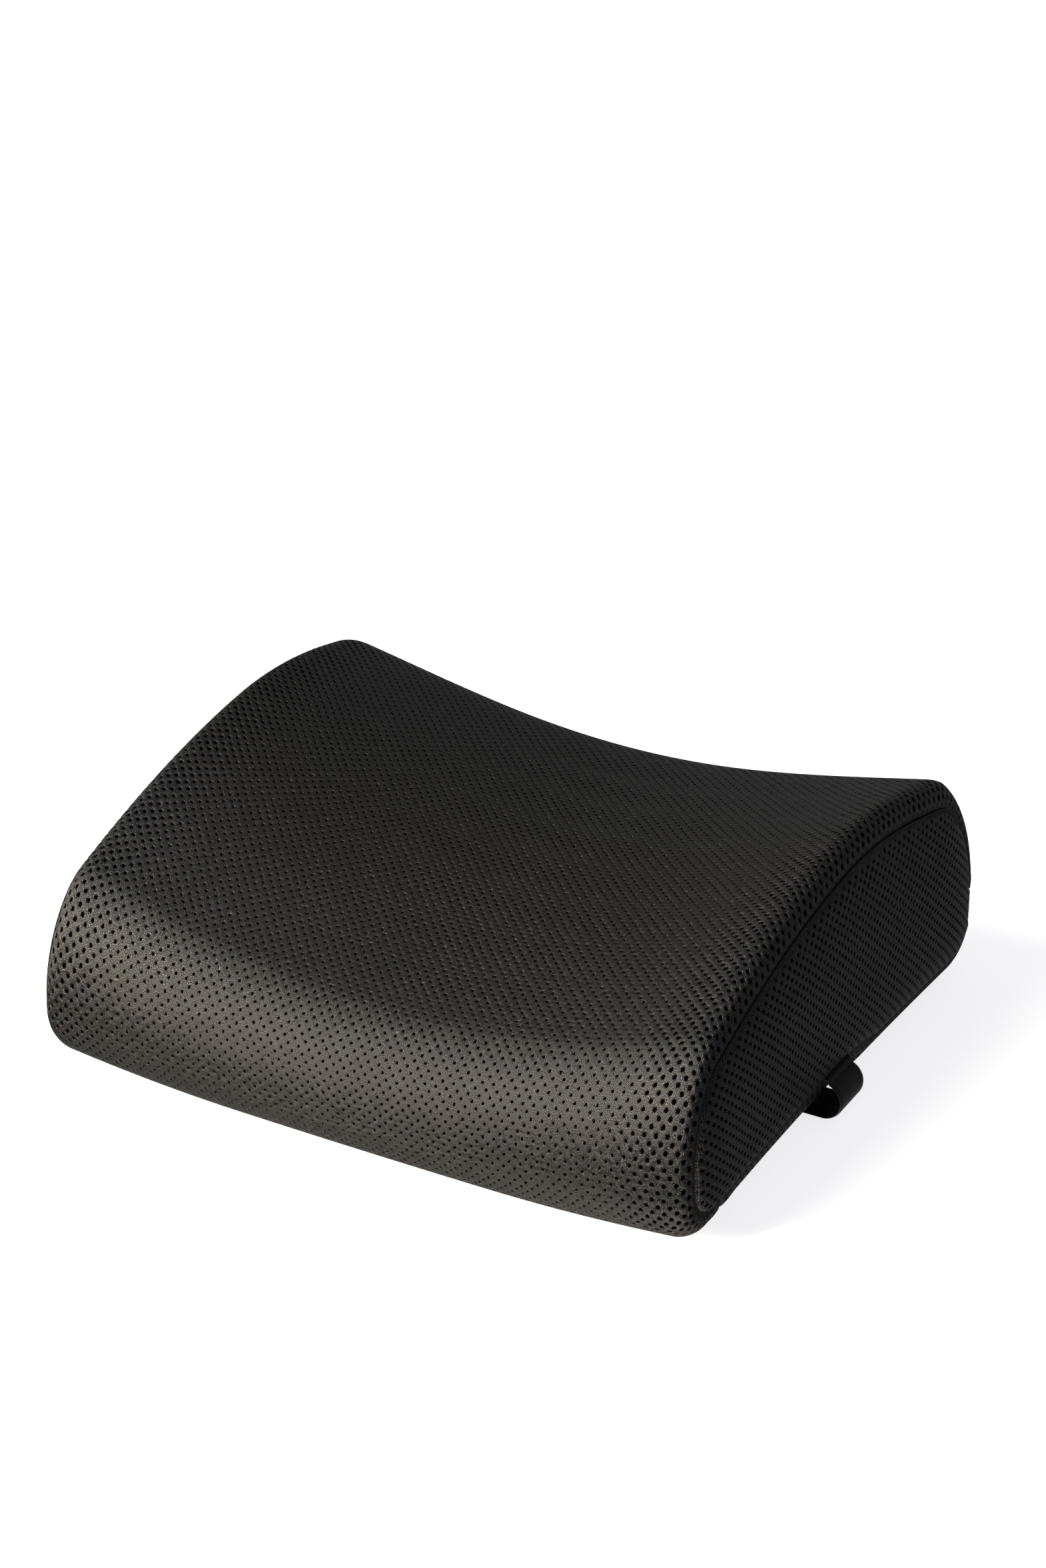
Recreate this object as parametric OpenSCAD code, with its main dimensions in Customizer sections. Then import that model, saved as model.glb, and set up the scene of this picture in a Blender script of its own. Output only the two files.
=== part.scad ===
// Lumbar support cushion: a moulded foam core in a knitted liner and a zipped
// spacer-mesh cover, with a webbing strap and a side-release buckle underneath.
// Frame: +X along the width, +Y from the thin front edge to the thick edge,
// +Z up. The cushion lies on its back, the origin is the middle of its footprint.

/* [Cushion] */
// Width from end panel to end panel
cushion_w = 340; // [280:5:420]
// Depth from the thin edge to the thick edge
cushion_d = 310; // [250:5:380]
// Height of the thin edge
near_h = 64; // [56:1:80]
// Height of the thick edge at mid width
far_h = 86; // [84:1:110]
// How much higher the top stands at its two ends than at mid width
horn_rise = 29; // [10:1:45]
// Extra crown between the thin and the thick edge at the two ends
end_crown = 13; // [0:1:20]
// How far the two corners at the thick edge fall away
far_fall = 11; // [0:1:15]
// Extra height of the top between the thin and the thick edge
top_crown = 17; // [6:1:24]
// Height of the hollow under the cushion, where the strap and buckle lie
hollow_h = 12; // [11:0.5:18]
// How far the underside lifts at its two ends
end_lift = 7; // [0:1:10]
// How much narrower each side is at the thin edge
near_taper = 4; // [0:1:20]
// How far each end pulls in between its corners
waist = 8; // [0:1:12]
// How far each end panel swells out in its middle
end_swell = 6; // [1:0.5:8]
// Rounding of the edge between the wrap and the end panels
edge_r = 12; // [9:0.5:16]

/* [Section radii] */
// Lower corner of the thin edge
near_low_r = 23; // [18:1:27]
// Upper corner of the thin edge
near_top_r = 28; // [20:1:29]
// Lower corner of the thick edge
far_low_r = 28; // [20:1:29]
// Upper corner of the thick edge
far_top_r = 43; // [36:1:43]

/* [Cover and liner] */
// Thickness of the spacer mesh
mesh_t = 3; // [2:0.25:4]
// Thickness of the liner knit
liner_t = 0.8; // [0.5:0.1:1.2]
// Gap between cover, liner and foam
layer_gap = 0.3; // [0.2:0.05:0.5]
// Width of the sewn groove between two panels
seam_w = 2; // [1.2:0.1:3]
// How far the cover's lower seam lies from the nose's foot
foot_seam = 14; // [6:1:18]

/* [Zip] */
// How far the zip is sunk below the cover
zip_dent = 5.5; // [4.5:0.25:7]
// Length of the row of teeth
teeth_len = 292; // [220:1:310]
// Distance from tooth to tooth
tooth_pitch = 2.5; // [2:0.25:4]
// Height of one tape's row of teeth
tooth_h = 2.6; // [2:0.1:3.2]
// Thickness of the teeth
tooth_t = 1.5; // [1.2:0.1:2]
// Thickness of the tape
tape_t = 0.5; // [0.4:0.1:0.8]
// Length of the slider
slider_len = 11; // [9:0.5:14]
// Height of the slider
slider_h = 9; // [8.75:0.25:9.75]
// Length of the pull tab
tab_len = 24; // [16:1:34]

/* [Strap and buckle] */
// Width of the webbing
strap_w = 25; // [20:1:30]
// Thickness of the webbing
strap_t = 1.4; // [1:0.1:1.6]
// Radius of the slack loop at each end of the strap
loop_r = 9.4; // [8:0.1:11]
// How far the loops stand out past the cushion's widest corners
loop_out = 6; // [4:0.5:12]
// Length of the strap's free tail
tail_len = 78; // [55:1:90]
// Length of the socket half of the buckle
socket_len = 32; // [31:0.5:38]
// Length of the plug half of the buckle outside the socket
plug_len = 27; // [26:0.5:32]
// Thickness of the buckle
buckle_t = 8.4; // [8.2:0.1:9]
// Radius of the bars that the webbing goes round
bar_r = 1.2; // [1:0.1:1.3]
// Gap between webbing and plastic
web_gap = 0.25; // [0.2:0.05:0.4]
// Gap between the prongs and the socket
buckle_gap = 0.4; // [0.3:0.05:0.5]
// Radial clearance of a prong's round root in the plug
root_fit = 0.08; // [0.05:0.01:0.1]
// Width of the keeper that holds the tail
keeper_len = 7; // [5:0.5:12]

/* [Hidden] */

mesh_black = "#2a2a2b";
liner_white = "#e4e2dc";
foam_cream = "#efe6cf";
web_black = "#1c1c1e";
plastic_black = "#18181a";
thread_black = "#101011";
metal_dark = "#3a3b3f";

half_w = cushion_w / 2;
half_d = cushion_d / 2;

// ---- Section of the cushion -------------------------------------------------
// The section is the outline round four circles, walked from the thin edge's
// underside to the thick edge, up, back along the top and down the nose.
arc_n = 5;    // segments on each corner
base_n = 11;  // segments on the underside
back_n = 1;   // segments on the thick edge, where the zip is
top_n = 8;    // segments on the top
nose_n = 1;   // segments on the nose
ring_n = 4 * arc_n + base_n + back_n + top_n + nose_n;
j_foot = 1;                                // where the wrap meets the back panel
j_zip_low = base_n + arc_n;                // lower edge of the zip
j_zip_top = j_zip_low + back_n;            // upper edge of the zip
hollow_from = 0.2;                         // hollow's two edges, as shares of the depth
hollow_to = 0.86;
foot_half = 0.38;                          // share of the half width that rests flat
hollow_half = 0.45;                        // share over which the hollow is at its full height
hollow_fade = 0.5;                         // share over which it runs out towards the ends
rise_from = 0.5;                           // share of the thick edge that the rising ends leave level
fall_from = 0.55;                          // share of the depth where the far corners start to fall
flat_to = 1 - edge_r / half_w;              // share of the half width before the rounded edge
lift_to = 0.98 * far_low_r / far_h;        // share of the height below which the ends lift

function corner(k) = [
    [near_low_r, near_low_r, near_low_r],
    [cushion_d - far_low_r, far_low_r, far_low_r],
    [cushion_d - far_top_r, far_h - far_top_r, far_top_r],
    [near_top_r, near_h - near_top_r, near_top_r]
][k % 4];

function unwound(ang, from) = ang < from ? unwound(ang + 360, from) : ang;

// Direction that faces outwards along the straight side from corner k to the next
function side_angle(k) =
    let (a = corner(k), b = corner(k + 1), d = [b[0] - a[0], b[1] - a[1]])
    unwound(atan2(d[1], d[0]) - acos((a[2] - b[2]) / norm(d)), -100);

function on_corner(k, ang, inset) =
    let (c = corner(k)) [c[0] + (c[2] - inset) * cos(ang), c[1] + (c[2] - inset) * sin(ang)];

function side_points(k, n, inset) =
    let (a = side_angle(k), p = on_corner(k, a, inset), q = on_corner(k + 1, a, inset))
    [for (i = [0:n - 1]) p + (q - p) * i / n];

// Underside points: the seam's two edges, then even steps over the hollow
function base_points(inset) =
    let (
        a = side_angle(0), p = on_corner(0, a, inset), q = on_corner(1, a, inset),
        low = hollow_from * cushion_d - near_low_r,
        high = hollow_to * cushion_d - near_low_r,
        n = base_n - 4,
        steps = [0, foot_seam, foot_seam + seam_w, for (i = [0:n]) low + (high - low) * i / n]
    )
    [for (s = steps) p + (q - p) * s / norm(q - p)];

function corner_points(k, inset) =
    let (a = side_angle(k - 1), b = unwound(side_angle(k), a))
    [for (i = [0:arc_n - 1]) on_corner(k, a + (b - a) * i / arc_n, inset)];

function section(inset) = concat(
    base_points(inset), corner_points(1, inset),
    side_points(1, back_n, inset), corner_points(2, inset),
    side_points(2, top_n, inset), corner_points(3, inset),
    side_points(3, nose_n, inset), corner_points(4, inset)
);

function limit(v) = min(max(v, 0), 1);
function smooth(v) = let (w = limit(v)) w * w * (3 - 2 * w);

// Carries one point of the flat section to its place in the moulded cushion:
// the crown, the hollow below, the rising ends, the pulled-in sides, the zip's dent
function moulded(x, p) =
    let (
        t = limit(p[0] / cushion_d),
        h = limit(p[1] / (near_h + (far_h - near_h) * t)),
        u = abs(x) / half_w,
        arch = (t > hollow_from && t < hollow_to)
            ? pow(sin(180 * (t - hollow_from) / (hollow_to - hollow_from)), 2) : 0,
        dome = 1 - smooth((u - hollow_half) / hollow_fade),
        foot = pow(max(0, (u - foot_half) / (1 - foot_half)), 2),
        level = rise_from * smooth((t - 0.5) / 0.4),
        rise = limit((h - level) / (1 - level)),
        fall = far_fall * u * u * smooth((t - fall_from) / (1 - fall_from)),
        ends = horn_rise + end_crown * 4 * t * (1 - t) - fall,
        zip_side = t > 0.8 ? 1 : 0,
        off_zip = abs(p[1] - zip_z) - (zip_room / 2),
        past_tape = smooth((u - flat_to) / (1 - flat_to)),
        dent = zip_side * zip_dent * (1 - limit(off_zip / 9)) * (1 - past_tape),
        narrow = 1 - (near_taper * (1 - t) + waist * sin(180 * t)) / half_w
    )
    [
        x * narrow,
        p[0] - half_d - dent,
        p[1] + top_crown * 4 * t * (1 - t) * h + hollow_h * arch * dome * (1 - h)
            + ends * u * u * rise + end_lift * foot * limit(1 - h / lift_to)
    ];

function ring(x, inset) = [for (p = section(inset)) moulded(x, p)];

// Stations across the width for a skin that lies depth below the surface:
// evenly spaced, then a quarter round of edge_r at each end.
// reach is how far round, in degrees, the skin follows the edge.
mid_n = 7;
edge_n = 3;
function end_stations(depth, reach) = [
    for (i = [0:edge_n])
        let (a = reach * i / edge_n, r = edge_r - depth)
        [half_w - edge_r + r * sin(a), edge_r - r * cos(a)]
];
function stations(depth, reach) = concat(
    [for (s = [edge_n:-1:0]) [-end_stations(depth, reach)[s][0], end_stations(depth, reach)[s][1]]],
    [for (i = [1:mid_n]) [(half_w - edge_r) * (2 * i / (mid_n + 1) - 1), depth]],
    end_stations(depth, reach)
);
function reversed(list) = [for (i = [len(list) - 1:-1:0]) list[i]];

// ---- Solids made from rings -------------------------------------------------
// Triangles of a grid of rows of n points, closed round each row or left open.
// From row turn on, the rows run back inside the skin, so the other diagonal is
// used there and layers that lie on each other bend alike.
function grid_faces(rows, n, wrap, row_wrap, turn) = [
    for (i = [0:rows - (row_wrap ? 1 : 2)], j = [0:n - (wrap ? 1 : 2)], half = [0, 1])
        let (
            a = i * n + j, b = i * n + (j + 1) % n,
            c = ((i + 1) % rows) * n + j, d = ((i + 1) % rows) * n + (j + 1) % n
        )
        i < turn ? (half == 0 ? [a, c, b] : [b, c, d]) : (half == 0 ? [a, c, d] : [a, d, b])
];

// A skin that goes all round the section, from a closed loop of stations
module sleeve(loop) {
    rings = [for (s = loop) ring(s[0], s[1])];
    polyhedron([for (r = rings, p = r) p], grid_faces(len(rings), ring_n, true, true, len(rings) / 2), 10);
}

// A skin over part of the section, from point j0 to point j1 of each ring
module patch(outer, inner, j0, j1) {
    rows = concat(outer, reversed(inner));
    n = j1 - j0 + 1;
    m = len(rows);
    points = [
        for (s = rows) let (r = ring(s[0], s[1])) for (j = [j0:j1]) r[j % ring_n]
    ];
    first = [for (i = [0:len(outer) - 2], half = [0, 1])
        let (a = i * n, b = (i + 1) * n, c = (m - 1 - i) * n, d = (m - 2 - i) * n)
        half == 0 ? [a, c, b] : [b, c, d]];
    last = [for (f = first) [f[0] + n - 1, f[2] + n - 1, f[1] + n - 1]];
    polyhedron(points, concat(grid_faces(m, n, false, true, m / 2), first, last), 10);
}

// Rings that shrink towards the middle of an end, swelling out as they do
function end_ring(side, x, inset, share, swell) =
    let (r = ring(side * x, inset), c = [for (k = [0:2]) (max([for (p = r) p[k]]) + min([for (p = r) p[k]])) / 2])
    [for (p = r) [
        p[0] + side * swell * (1 - share * share),
        c[1] + (p[1] - c[1]) * share,
        c[2] + (p[2] - c[2]) * share
    ]];

// A sheet across one end: its outer and inner faces are sets of shrinking rings
module end_sheet(side, x, inset, swell, thick) {
    shares = [1, 0.75, 0.4];
    outer = [for (s = shares) end_ring(side, x, inset, s, swell)];
    inner = [for (s = reversed(shares))
        [for (p = end_ring(side, x, inset, s, swell)) [p[0] - side * thick, p[1], p[2]]]];
    closed_barrel(concat(reversed(outer), reversed(inner)), side);
}

// A closed solid from a row of rings, with a fan over the first and the last
module closed_barrel(rings, side) {
    n = ring_n;
    m = len(rings);
    flat = [for (r = rings, p = r) p];
    middle = function(r) [for (k = [0:2]) [for (p = r) p[k]] * [for (p = r) 1] / n];
    points = concat(flat, [middle(rings[0]), middle(rings[m - 1])]);
    start = [for (j = [0:n - 1]) [m * n, j, (j + 1) % n]];
    finish = [for (j = [0:n - 1]) [m * n + 1, (m - 1) * n + (j + 1) % n, (m - 1) * n + j]];
    faces = concat(grid_faces(m, n, true, false, m), start, finish);
    polyhedron(points, side > 0 ? [for (f = faces) reversed(f)] : faces, 10);
}

// ---- Soft layers ------------------------------------------------------------
zip_z = (far_low_r + far_h - far_top_r) / 2;     // height of the zip's middle
zip_room = far_h - far_top_r - far_low_r;        // height of the gap for the zip
skin_reach = 78;                                 // how far the wrap follows the edge
liner_out = mesh_t + layer_gap;
liner_in = liner_out + liner_t;
foam_out = liner_in + layer_gap;
edge_x = half_w - edge_r + edge_r * sin(skin_reach);
edge_inset = edge_r - edge_r * cos(skin_reach);
panel_inset = edge_inset + seam_w;               // rim of an end panel
panel_x = edge_x + seam_w / 4;

module foam_core() color(foam_cream) {
    body = stations(foam_out, skin_reach);
    last = body[len(body) - 1];
    shares = [0.75, 0.4];
    right = [for (s = shares) end_ring(1, last[0], last[1], s, end_swell / 2)];
    left = [for (s = reversed(shares)) end_ring(-1, last[0], last[1], s, end_swell / 2)];
    closed_barrel(concat(left, [for (s = body) ring(s[0], s[1])], right), -1);
}

module liner_sleeve() color(liner_white)
    sleeve(concat(stations(liner_out, skin_reach), reversed(stations(liner_in, skin_reach))));

module liner_end(side) color(liner_white) {
    rim = end_stations(liner_out, skin_reach)[edge_n];
    end_sheet(side, rim[0] + layer_gap + liner_t, rim[1] + 2 * layer_gap, end_swell - 0.5, liner_t);
}

module front_panel() color(mesh_black)
    patch(stations(0, skin_reach), stations(mesh_t, skin_reach), j_zip_top, ring_n + j_foot);

module back_panel() color(mesh_black)
    patch(stations(0, skin_reach), stations(mesh_t, skin_reach), j_foot + 1, j_zip_low);

module end_panel(side) color(mesh_black)
    end_sheet(side, panel_x, panel_inset, end_swell, mesh_t - layer_gap - liner_t);

module end_seam(side) color(thread_black) {
    gap = 0.5;
    loop = [
        [side * (edge_x + gap), edge_inset + gap],
        [side * (edge_x + gap), edge_inset + seam_w - gap],
        [side * (edge_x - seam_w / 2), edge_inset + seam_w - gap],
        [side * (edge_x - seam_w / 2), edge_inset + seam_w / 2]
    ];
    sleeve(side > 0 ? loop : reversed(loop));
}

// ---- Seam below the thin edge, zip ------------------------------------------
chain_gap = 1.3;                               // gap between the two rows of teeth
zip_face = half_d - zip_dent;                  // the cover's outside at the zip
tape_back = zip_face - 1.4;                    // back of the tapes
tape_front = tape_back + tape_t;
teeth_front = tape_front + tooth_t;
tape_half = half_w - edge_r - layer_gap;       // half the tapes' length
slide_gap = 0.35;                              // gap between the slider and the chain
slider_x = teeth_len / 2 - slider_len / 2 - 1; // where the closed slider stands
plate_t = 1.1;                                 // thickness of the slider's front plate
plate_back = teeth_front + slide_gap;
plate_front = plate_back + plate_t;
post_w = chain_gap - 2 * slide_gap;
bail_in = 2.2;                                 // half length of the bail's opening
bail_t = 1;
bail_room = 2.1;                               // height of the bail's opening
pin_r = 0.75;                                  // the pull tab's cross pin
tab_y = plate_front + bail_room / 2;

module base_seam() color(thread_black)
    patch(
        stations(seam_w / 3, skin_reach), stations(mesh_t - seam_w / 3, skin_reach),
        j_foot, j_foot + 1
    );

module zip_end_tab(side) color(mesh_black) {
    outer = [for (s = end_stations(0, skin_reach)) [side * s[0], s[1]]];
    inner = [for (s = end_stations(mesh_t, skin_reach)) [side * s[0], s[1]]];
    patch(
        side > 0 ? outer : reversed(outer), side > 0 ? inner : reversed(inner),
        j_zip_low, j_zip_top
    );
}

// A flat bar in the zip's plane, from x0 to x1, y0 to y1, z0 to z1
module bar(x0, x1, y0, y1, z0, z1)
    translate([x0, y0, z0]) cube([x1 - x0, y1 - y0, z1 - z0]);

module zip_tape(up) color(web_black)
    translate([0, 0, zip_z]) mirror([0, 0, up > 0 ? 0 : 1])
        bar(-tape_half, tape_half, tape_back, tape_front, chain_gap / 2, zip_room / 2 - layer_gap);

// One tape's teeth: a strip whose inner edge is cut into square teeth
module zip_teeth(up) color(plastic_black) {
    count = floor(teeth_len / tooth_pitch);
    start = -count * tooth_pitch / 2 + (up > 0 ? 0 : tooth_pitch / 2);
    root = chain_gap / 2 + 0.9;
    top = chain_gap / 2 + tooth_h;
    outline = concat(
        [for (i = [0:count - 1], c = [[0.2, root], [0.2, chain_gap / 2], [0.8, chain_gap / 2], [0.8, root]])
            [start + (i + c[0]) * tooth_pitch, c[1]]],
        [[start + (count - 0.2) * tooth_pitch, top], [start + 0.2 * tooth_pitch, top]]
    );
    translate([0, teeth_front, zip_z]) mirror([0, 0, up > 0 ? 0 : 1])
        rotate([90, 0, 0]) linear_extrude(tooth_t) polygon(outline);
}

module zip_stops() color(metal_dark)
    for (side = [-1, 1])
        translate([side * (teeth_len / 2 + 3), 0, zip_z])
            bar(-1, 1, tape_front, teeth_front, -chain_gap / 2 - tooth_h, chain_gap / 2 + tooth_h);

module zip_slider() color(metal_dark) translate([slider_x, 0, zip_z]) {
    nose = slider_len / 2;
    cheek = slider_h / 2;
    translate([0, plate_front, 0]) rotate([90, 0, 0]) linear_extrude(plate_t)
        polygon([[-nose, -cheek + 1], [-nose + 2, -cheek], [nose - 3, -cheek], [nose, -cheek + 2.5],
            [nose, cheek - 2.5], [nose - 3, cheek], [-nose + 2, cheek], [-nose, cheek - 1]]);
    for (side = [-1, 1]) mirror([0, 0, side > 0 ? 0 : 1])
        bar(-nose + 2, nose - 3, tape_front + slide_gap, plate_back + 0.2,
            chain_gap / 2 + tooth_h + slide_gap, cheek);
    bar(-nose + 1, nose - 1, tape_back - slide_gap - 1, tape_back - slide_gap, -cheek + 1, cheek - 1);
    bar(-2, 3, tape_back - slide_gap - 0.5, plate_back + 0.2, -post_w / 2, post_w / 2);
    for (side = [-1, 1]) mirror([side > 0 ? 0 : 1, 0, 0])
        bar(bail_in, bail_in + bail_t, plate_front - 0.2, plate_front + bail_room + 0.2, -1, 1);
    bar(-bail_in - bail_t, bail_in + bail_t, plate_front + bail_room, plate_front + bail_room + bail_t, -1, 1);
}

module zip_pull_tab() color(metal_dark) translate([slider_x, tab_y, zip_z]) {
    arm_in = 1.35;
    arm_out = 2.6;
    grip = 3.4;
    translate([0, 0, -arm_out]) cylinder(h = 2 * arm_out, r = pin_r, $fn = 32);
    for (side = [-1, 1]) mirror([0, 0, side > 0 ? 0 : 1]) {
        translate([0, 0, arm_in]) cylinder(h = arm_out - arm_in, r = pin_r, $fn = 32);
        bar(-5.4, 0, -pin_r, pin_r, arm_in, arm_out);
    }
    difference() {
        bar(-tab_len, -5, -pin_r, pin_r, -grip, grip);
        translate([-tab_len + 4, 2 * pin_r, 0]) rotate([90, 0, 0]) cylinder(h = 4 * pin_r, r = 1.6, $fn = 32);
    }
}

// ---- Strap and buckle -------------------------------------------------------
fold_r = bar_r + web_gap + strap_t / 2;        // middle of the webbing round a bar
keeper_wall = 1;
keeper_gap = 0.35;                             // gap between the keeper and the webbing
keeper_drop = fold_r + strap_t / 2 + keeper_gap + keeper_wall;
bar_z = max(buckle_t / 2, keeper_drop) + 0.3;  // height of the buckle's middle
floor_z = strap_t / 2;
main_z = bar_z - fold_r;                       // webbing where it runs to the buckle
over_z = main_z + strap_t + web_gap;           // second layer, lying on the first
loop_x = half_w + loop_out - loop_r - strap_t / 2;
cheek_w = 3.6;                                 // width of the buckle's side arms
side_gap = 0.4;                                // gap beside the webbing
buckle_w = strap_w + 2 * (side_gap + cheek_w);
web_slot = fold_r + strap_t / 2 + 0.45;        // from a bar's middle to the next wall
socket_bar_x = -socket_len + bar_r + 0.5;
socket_end = socket_bar_x + web_slot;
plug_face = 0.4;                               // gap between the two halves
plug_flange = 5.6;
plug_bar_x = plug_flange + web_slot;
lock_bar_x = plug_len - bar_r - 0.5;
fold_len = 26;                                 // length of the sewn fold
tail_from = lock_bar_x + 10;
tail_end = tail_from + tail_len;
seam_low = moulded(edge_x, [half_d, edge_inset + seam_w / 2]);
ramp_from = 148;                               // where the webbing leaves the floor
ramp_run = 24;

function arc(cx, cz, r, a0, a1, n) = [for (i = [0:n]) let (a = a0 + (a1 - a0) * i / n) [cx + r * cos(a), cz + r * sin(a)]];

// The webbing's middle line from the right end's seam to the floor, in X and Z
end_run = concat(
    [[seam_low[0] - 0.5, seam_low[2] - strap_t / 2], [seam_low[0] + 2.5, seam_low[2] - strap_t]],
    arc(loop_x, floor_z + loop_r, loop_r, 70, -90, 12),
    [[ramp_from, floor_z], [ramp_from - ramp_run / 2, (floor_z + main_z) / 2], [ramp_from - ramp_run, main_z]]
);

right_run = concat(
    end_run,
    arc(plug_bar_x, bar_z, fold_r, 270, 90, 10),
    [
        [lock_bar_x + 1, bar_z + fold_r],
        [lock_bar_x + 5, (bar_z + fold_r + over_z) / 2],
        [tail_from, over_z],
        [tail_end, over_z]
    ]
);

left_run = concat(
    end_run,
    arc(-socket_bar_x, bar_z, fold_r, 270, 90, 10),
    [
        [-socket_bar_x + 3, bar_z + fold_r],
        [-socket_bar_x + 9, over_z],
        [-socket_bar_x + fold_len, over_z]
    ]
);

// Outline of a band of even thickness along a line of points
function turn_at(path, i) =
    let (
        a = path[max(i - 1, 0)], b = path[i], c = path[min(i + 1, len(path) - 1)],
        u = i == 0 ? (c - b) / norm(c - b) : (b - a) / norm(b - a),
        v = i == len(path) - 1 ? u : (c - b) / norm(c - b),
        m = (u + v) / norm(u + v)
    )
    [-m[1], m[0]] / (m * u);
function band(path, t) = concat(
    [for (i = [0:len(path) - 1]) path[i] + turn_at(path, i) * t / 2],
    [for (i = [len(path) - 1:-1:0]) path[i] - turn_at(path, i) * t / 2]
);

module webbing(path, width)
    translate([0, width / 2, 0]) rotate([90, 0, 0]) linear_extrude(width) polygon(band(path, strap_t));

module strap_right() color(web_black) webbing(right_run, strap_w);
module strap_left() color(web_black) mirror([1, 0, 0]) webbing(left_run, strap_w);

stitch_t = 0.3;
module stitch(x0, y0, x1, y1, z) {
    run = norm([x1 - x0, y1 - y0]);
    translate([x0, y0, z]) rotate([0, 0, atan2(y1 - y0, x1 - x0)])
        translate([0, -0.4, 0]) cube([run, 0.8, stitch_t]);
}

module strap_fold_stitches() color(thread_black) {
    top = over_z + strap_t / 2;
    x0 = socket_bar_x - fold_len + 2;
    x1 = socket_bar_x - 10;
    y0 = strap_w / 2 - 3;
    stitch(x0, -y0, x1, -y0, top);
    stitch(x0, y0, x1, y0, top);
    stitch(x0, -y0, x0, y0, top);
    stitch(x1, -y0, x1, y0, top);
    stitch(x0, -y0, x1, y0, top);
    stitch(x0, y0, x1, -y0, top);
}

module tail_hem_stitches() color(thread_black)
    for (back = [2.5, 8])
        stitch(tail_end - back, 2 - strap_w / 2, tail_end - back, strap_w / 2 - 2, over_z + strap_t / 2);

wall = 1.8;                                    // top and bottom walls of the socket
side_wall = 2.4;
cave_h = buckle_t - 2 * wall;
cave_y = buckle_w / 2 - side_wall;
window_from = 12.5;                            // the side windows, from the mouth
window_to = 22.6;
cave_len = -socket_end - 1.4;
inner_h = cave_h - 2 * buckle_gap;

// A block centred on the buckle's middle height, with rounded upright edges
module block(x0, x1, wide, high, r)
    translate([0, 0, bar_z - high / 2]) linear_extrude(high)
        hull() for (x = [x0 + r, x1 - r], y = [r - wide / 2, wide / 2 - r])
            translate([x, y]) circle(r = r, $fn = 24);

module crossbar(x)
    translate([x, buckle_w / 2 - 1, bar_z]) rotate([90, 0, 0]) cylinder(h = buckle_w - 2, r = bar_r, $fn = 32);

module side_arms(x0, x1, high)
    for (side = [-1, 1]) mirror([0, side > 0 ? 0 : 1, 0])
        translate([x0, buckle_w / 2 - cheek_w, bar_z - high / 2]) cube([x1 - x0, cheek_w, high]);

arm_h = 5.6;                                   // height of the arms that hold the bars

module buckle_socket() color(plastic_black) {
    difference() {
        block(socket_end, 0, buckle_w, buckle_t, 1.5);
        translate([-cave_len, -cave_y, bar_z - cave_h / 2]) cube([cave_len + 1, 2 * cave_y, cave_h]);
        translate([-window_to, -buckle_w, bar_z - cave_h / 2])
            cube([window_to - window_from, 2 * buckle_w, cave_h]);
    }
    side_arms(socket_bar_x - bar_r, socket_end + 1, arm_h);
    crossbar(socket_bar_x);
}

root_x = -1.2;                                 // the prongs' roots
root_y = 9.9;
root_r = 1.8;
press_room = 0.9;                              // room for the prong as it is pressed

module buckle_plug() color(plastic_black) {
    difference() {
        union() {
            block(plug_face, plug_flange, buckle_w, buckle_t, 1.2);
            translate([-3.5, -cave_y + buckle_gap, bar_z - inner_h / 2])
                cube([3.5 + plug_face + 0.5, 2 * (cave_y - buckle_gap), inner_h]);
            translate([-20, -2.2, bar_z - inner_h / 2]) cube([21, 4.4, inner_h]);
        }
        for (side = [-1, 1]) mirror([0, side > 0 ? 0 : 1, 0]) {
            translate([root_x, root_y, bar_z - inner_h])
                cylinder(h = 2 * inner_h, r = root_r + root_fit, $fn = 48);
            translate([-6, root_y - 1.1 - press_room, bar_z - inner_h])
                cube([6 + root_x, 2.2 + press_room + 0.4, 2 * inner_h]);
        }
    }
    side_arms(plug_flange - 1, plug_len, arm_h);
    crossbar(plug_bar_x);
    crossbar(lock_bar_x);
}

// A prong: a round root, a springy arm, and a head that fills the side window
module buckle_prong(side) color(plastic_black) mirror([0, side > 0 ? 0 : 1, 0]) {
    head = buckle_w / 2 - 0.4;
    translate([root_x, root_y, bar_z - inner_h / 2]) cylinder(h = inner_h, r = root_r, $fn = 48);
    translate([0, 0, bar_z - inner_h / 2]) linear_extrude(inner_h) polygon([
        [root_x, root_y - 1.1], [root_x, root_y + 1.1], [-4.5, root_y + 1.3],
        [-window_from - 0.2, cave_y - 0.8], [-window_from - 0.4, head], [-19, head],
        [-window_to + 0.6, cave_y - 1], [-window_to + 0.6, root_y + 0.7],
        [-window_from - 2, root_y + 1], [-4.5, root_y - 1]
    ]);
}

keeper_x = tail_from + 45;
keeper_low = main_z - strap_t / 2 - keeper_gap;
keeper_high = over_z + strap_t / 2 + keeper_gap + stitch_t;

module strap_keeper() color(plastic_black) {
    inside = strap_w / 2 + side_gap;
    difference() {
        translate([keeper_x, 0, 0]) bar(-keeper_len / 2, keeper_len / 2, -inside - keeper_wall,
            inside + keeper_wall, keeper_low - keeper_wall, keeper_high + keeper_wall);
        translate([keeper_x, 0, 0])
            bar(-keeper_len, keeper_len, -inside, inside, keeper_low, keeper_high);
    }
}

label_w = 24;
label_len = 11;
label_t = 0.5;
label_at = moulded(-edge_x, [cushion_d * 0.78, edge_inset + seam_w / 2]);
module care_label() color(liner_white)
    translate([label_at[0] - 0.95, label_at[1] - label_w / 2, label_at[2] - 0.6])
        rotate([0, 50, 0]) translate([0, 0, -label_t]) mirror([1, 0, 0]) mirror([0, 0, 1])
            cube([label_t, label_w, label_len]);

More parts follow.
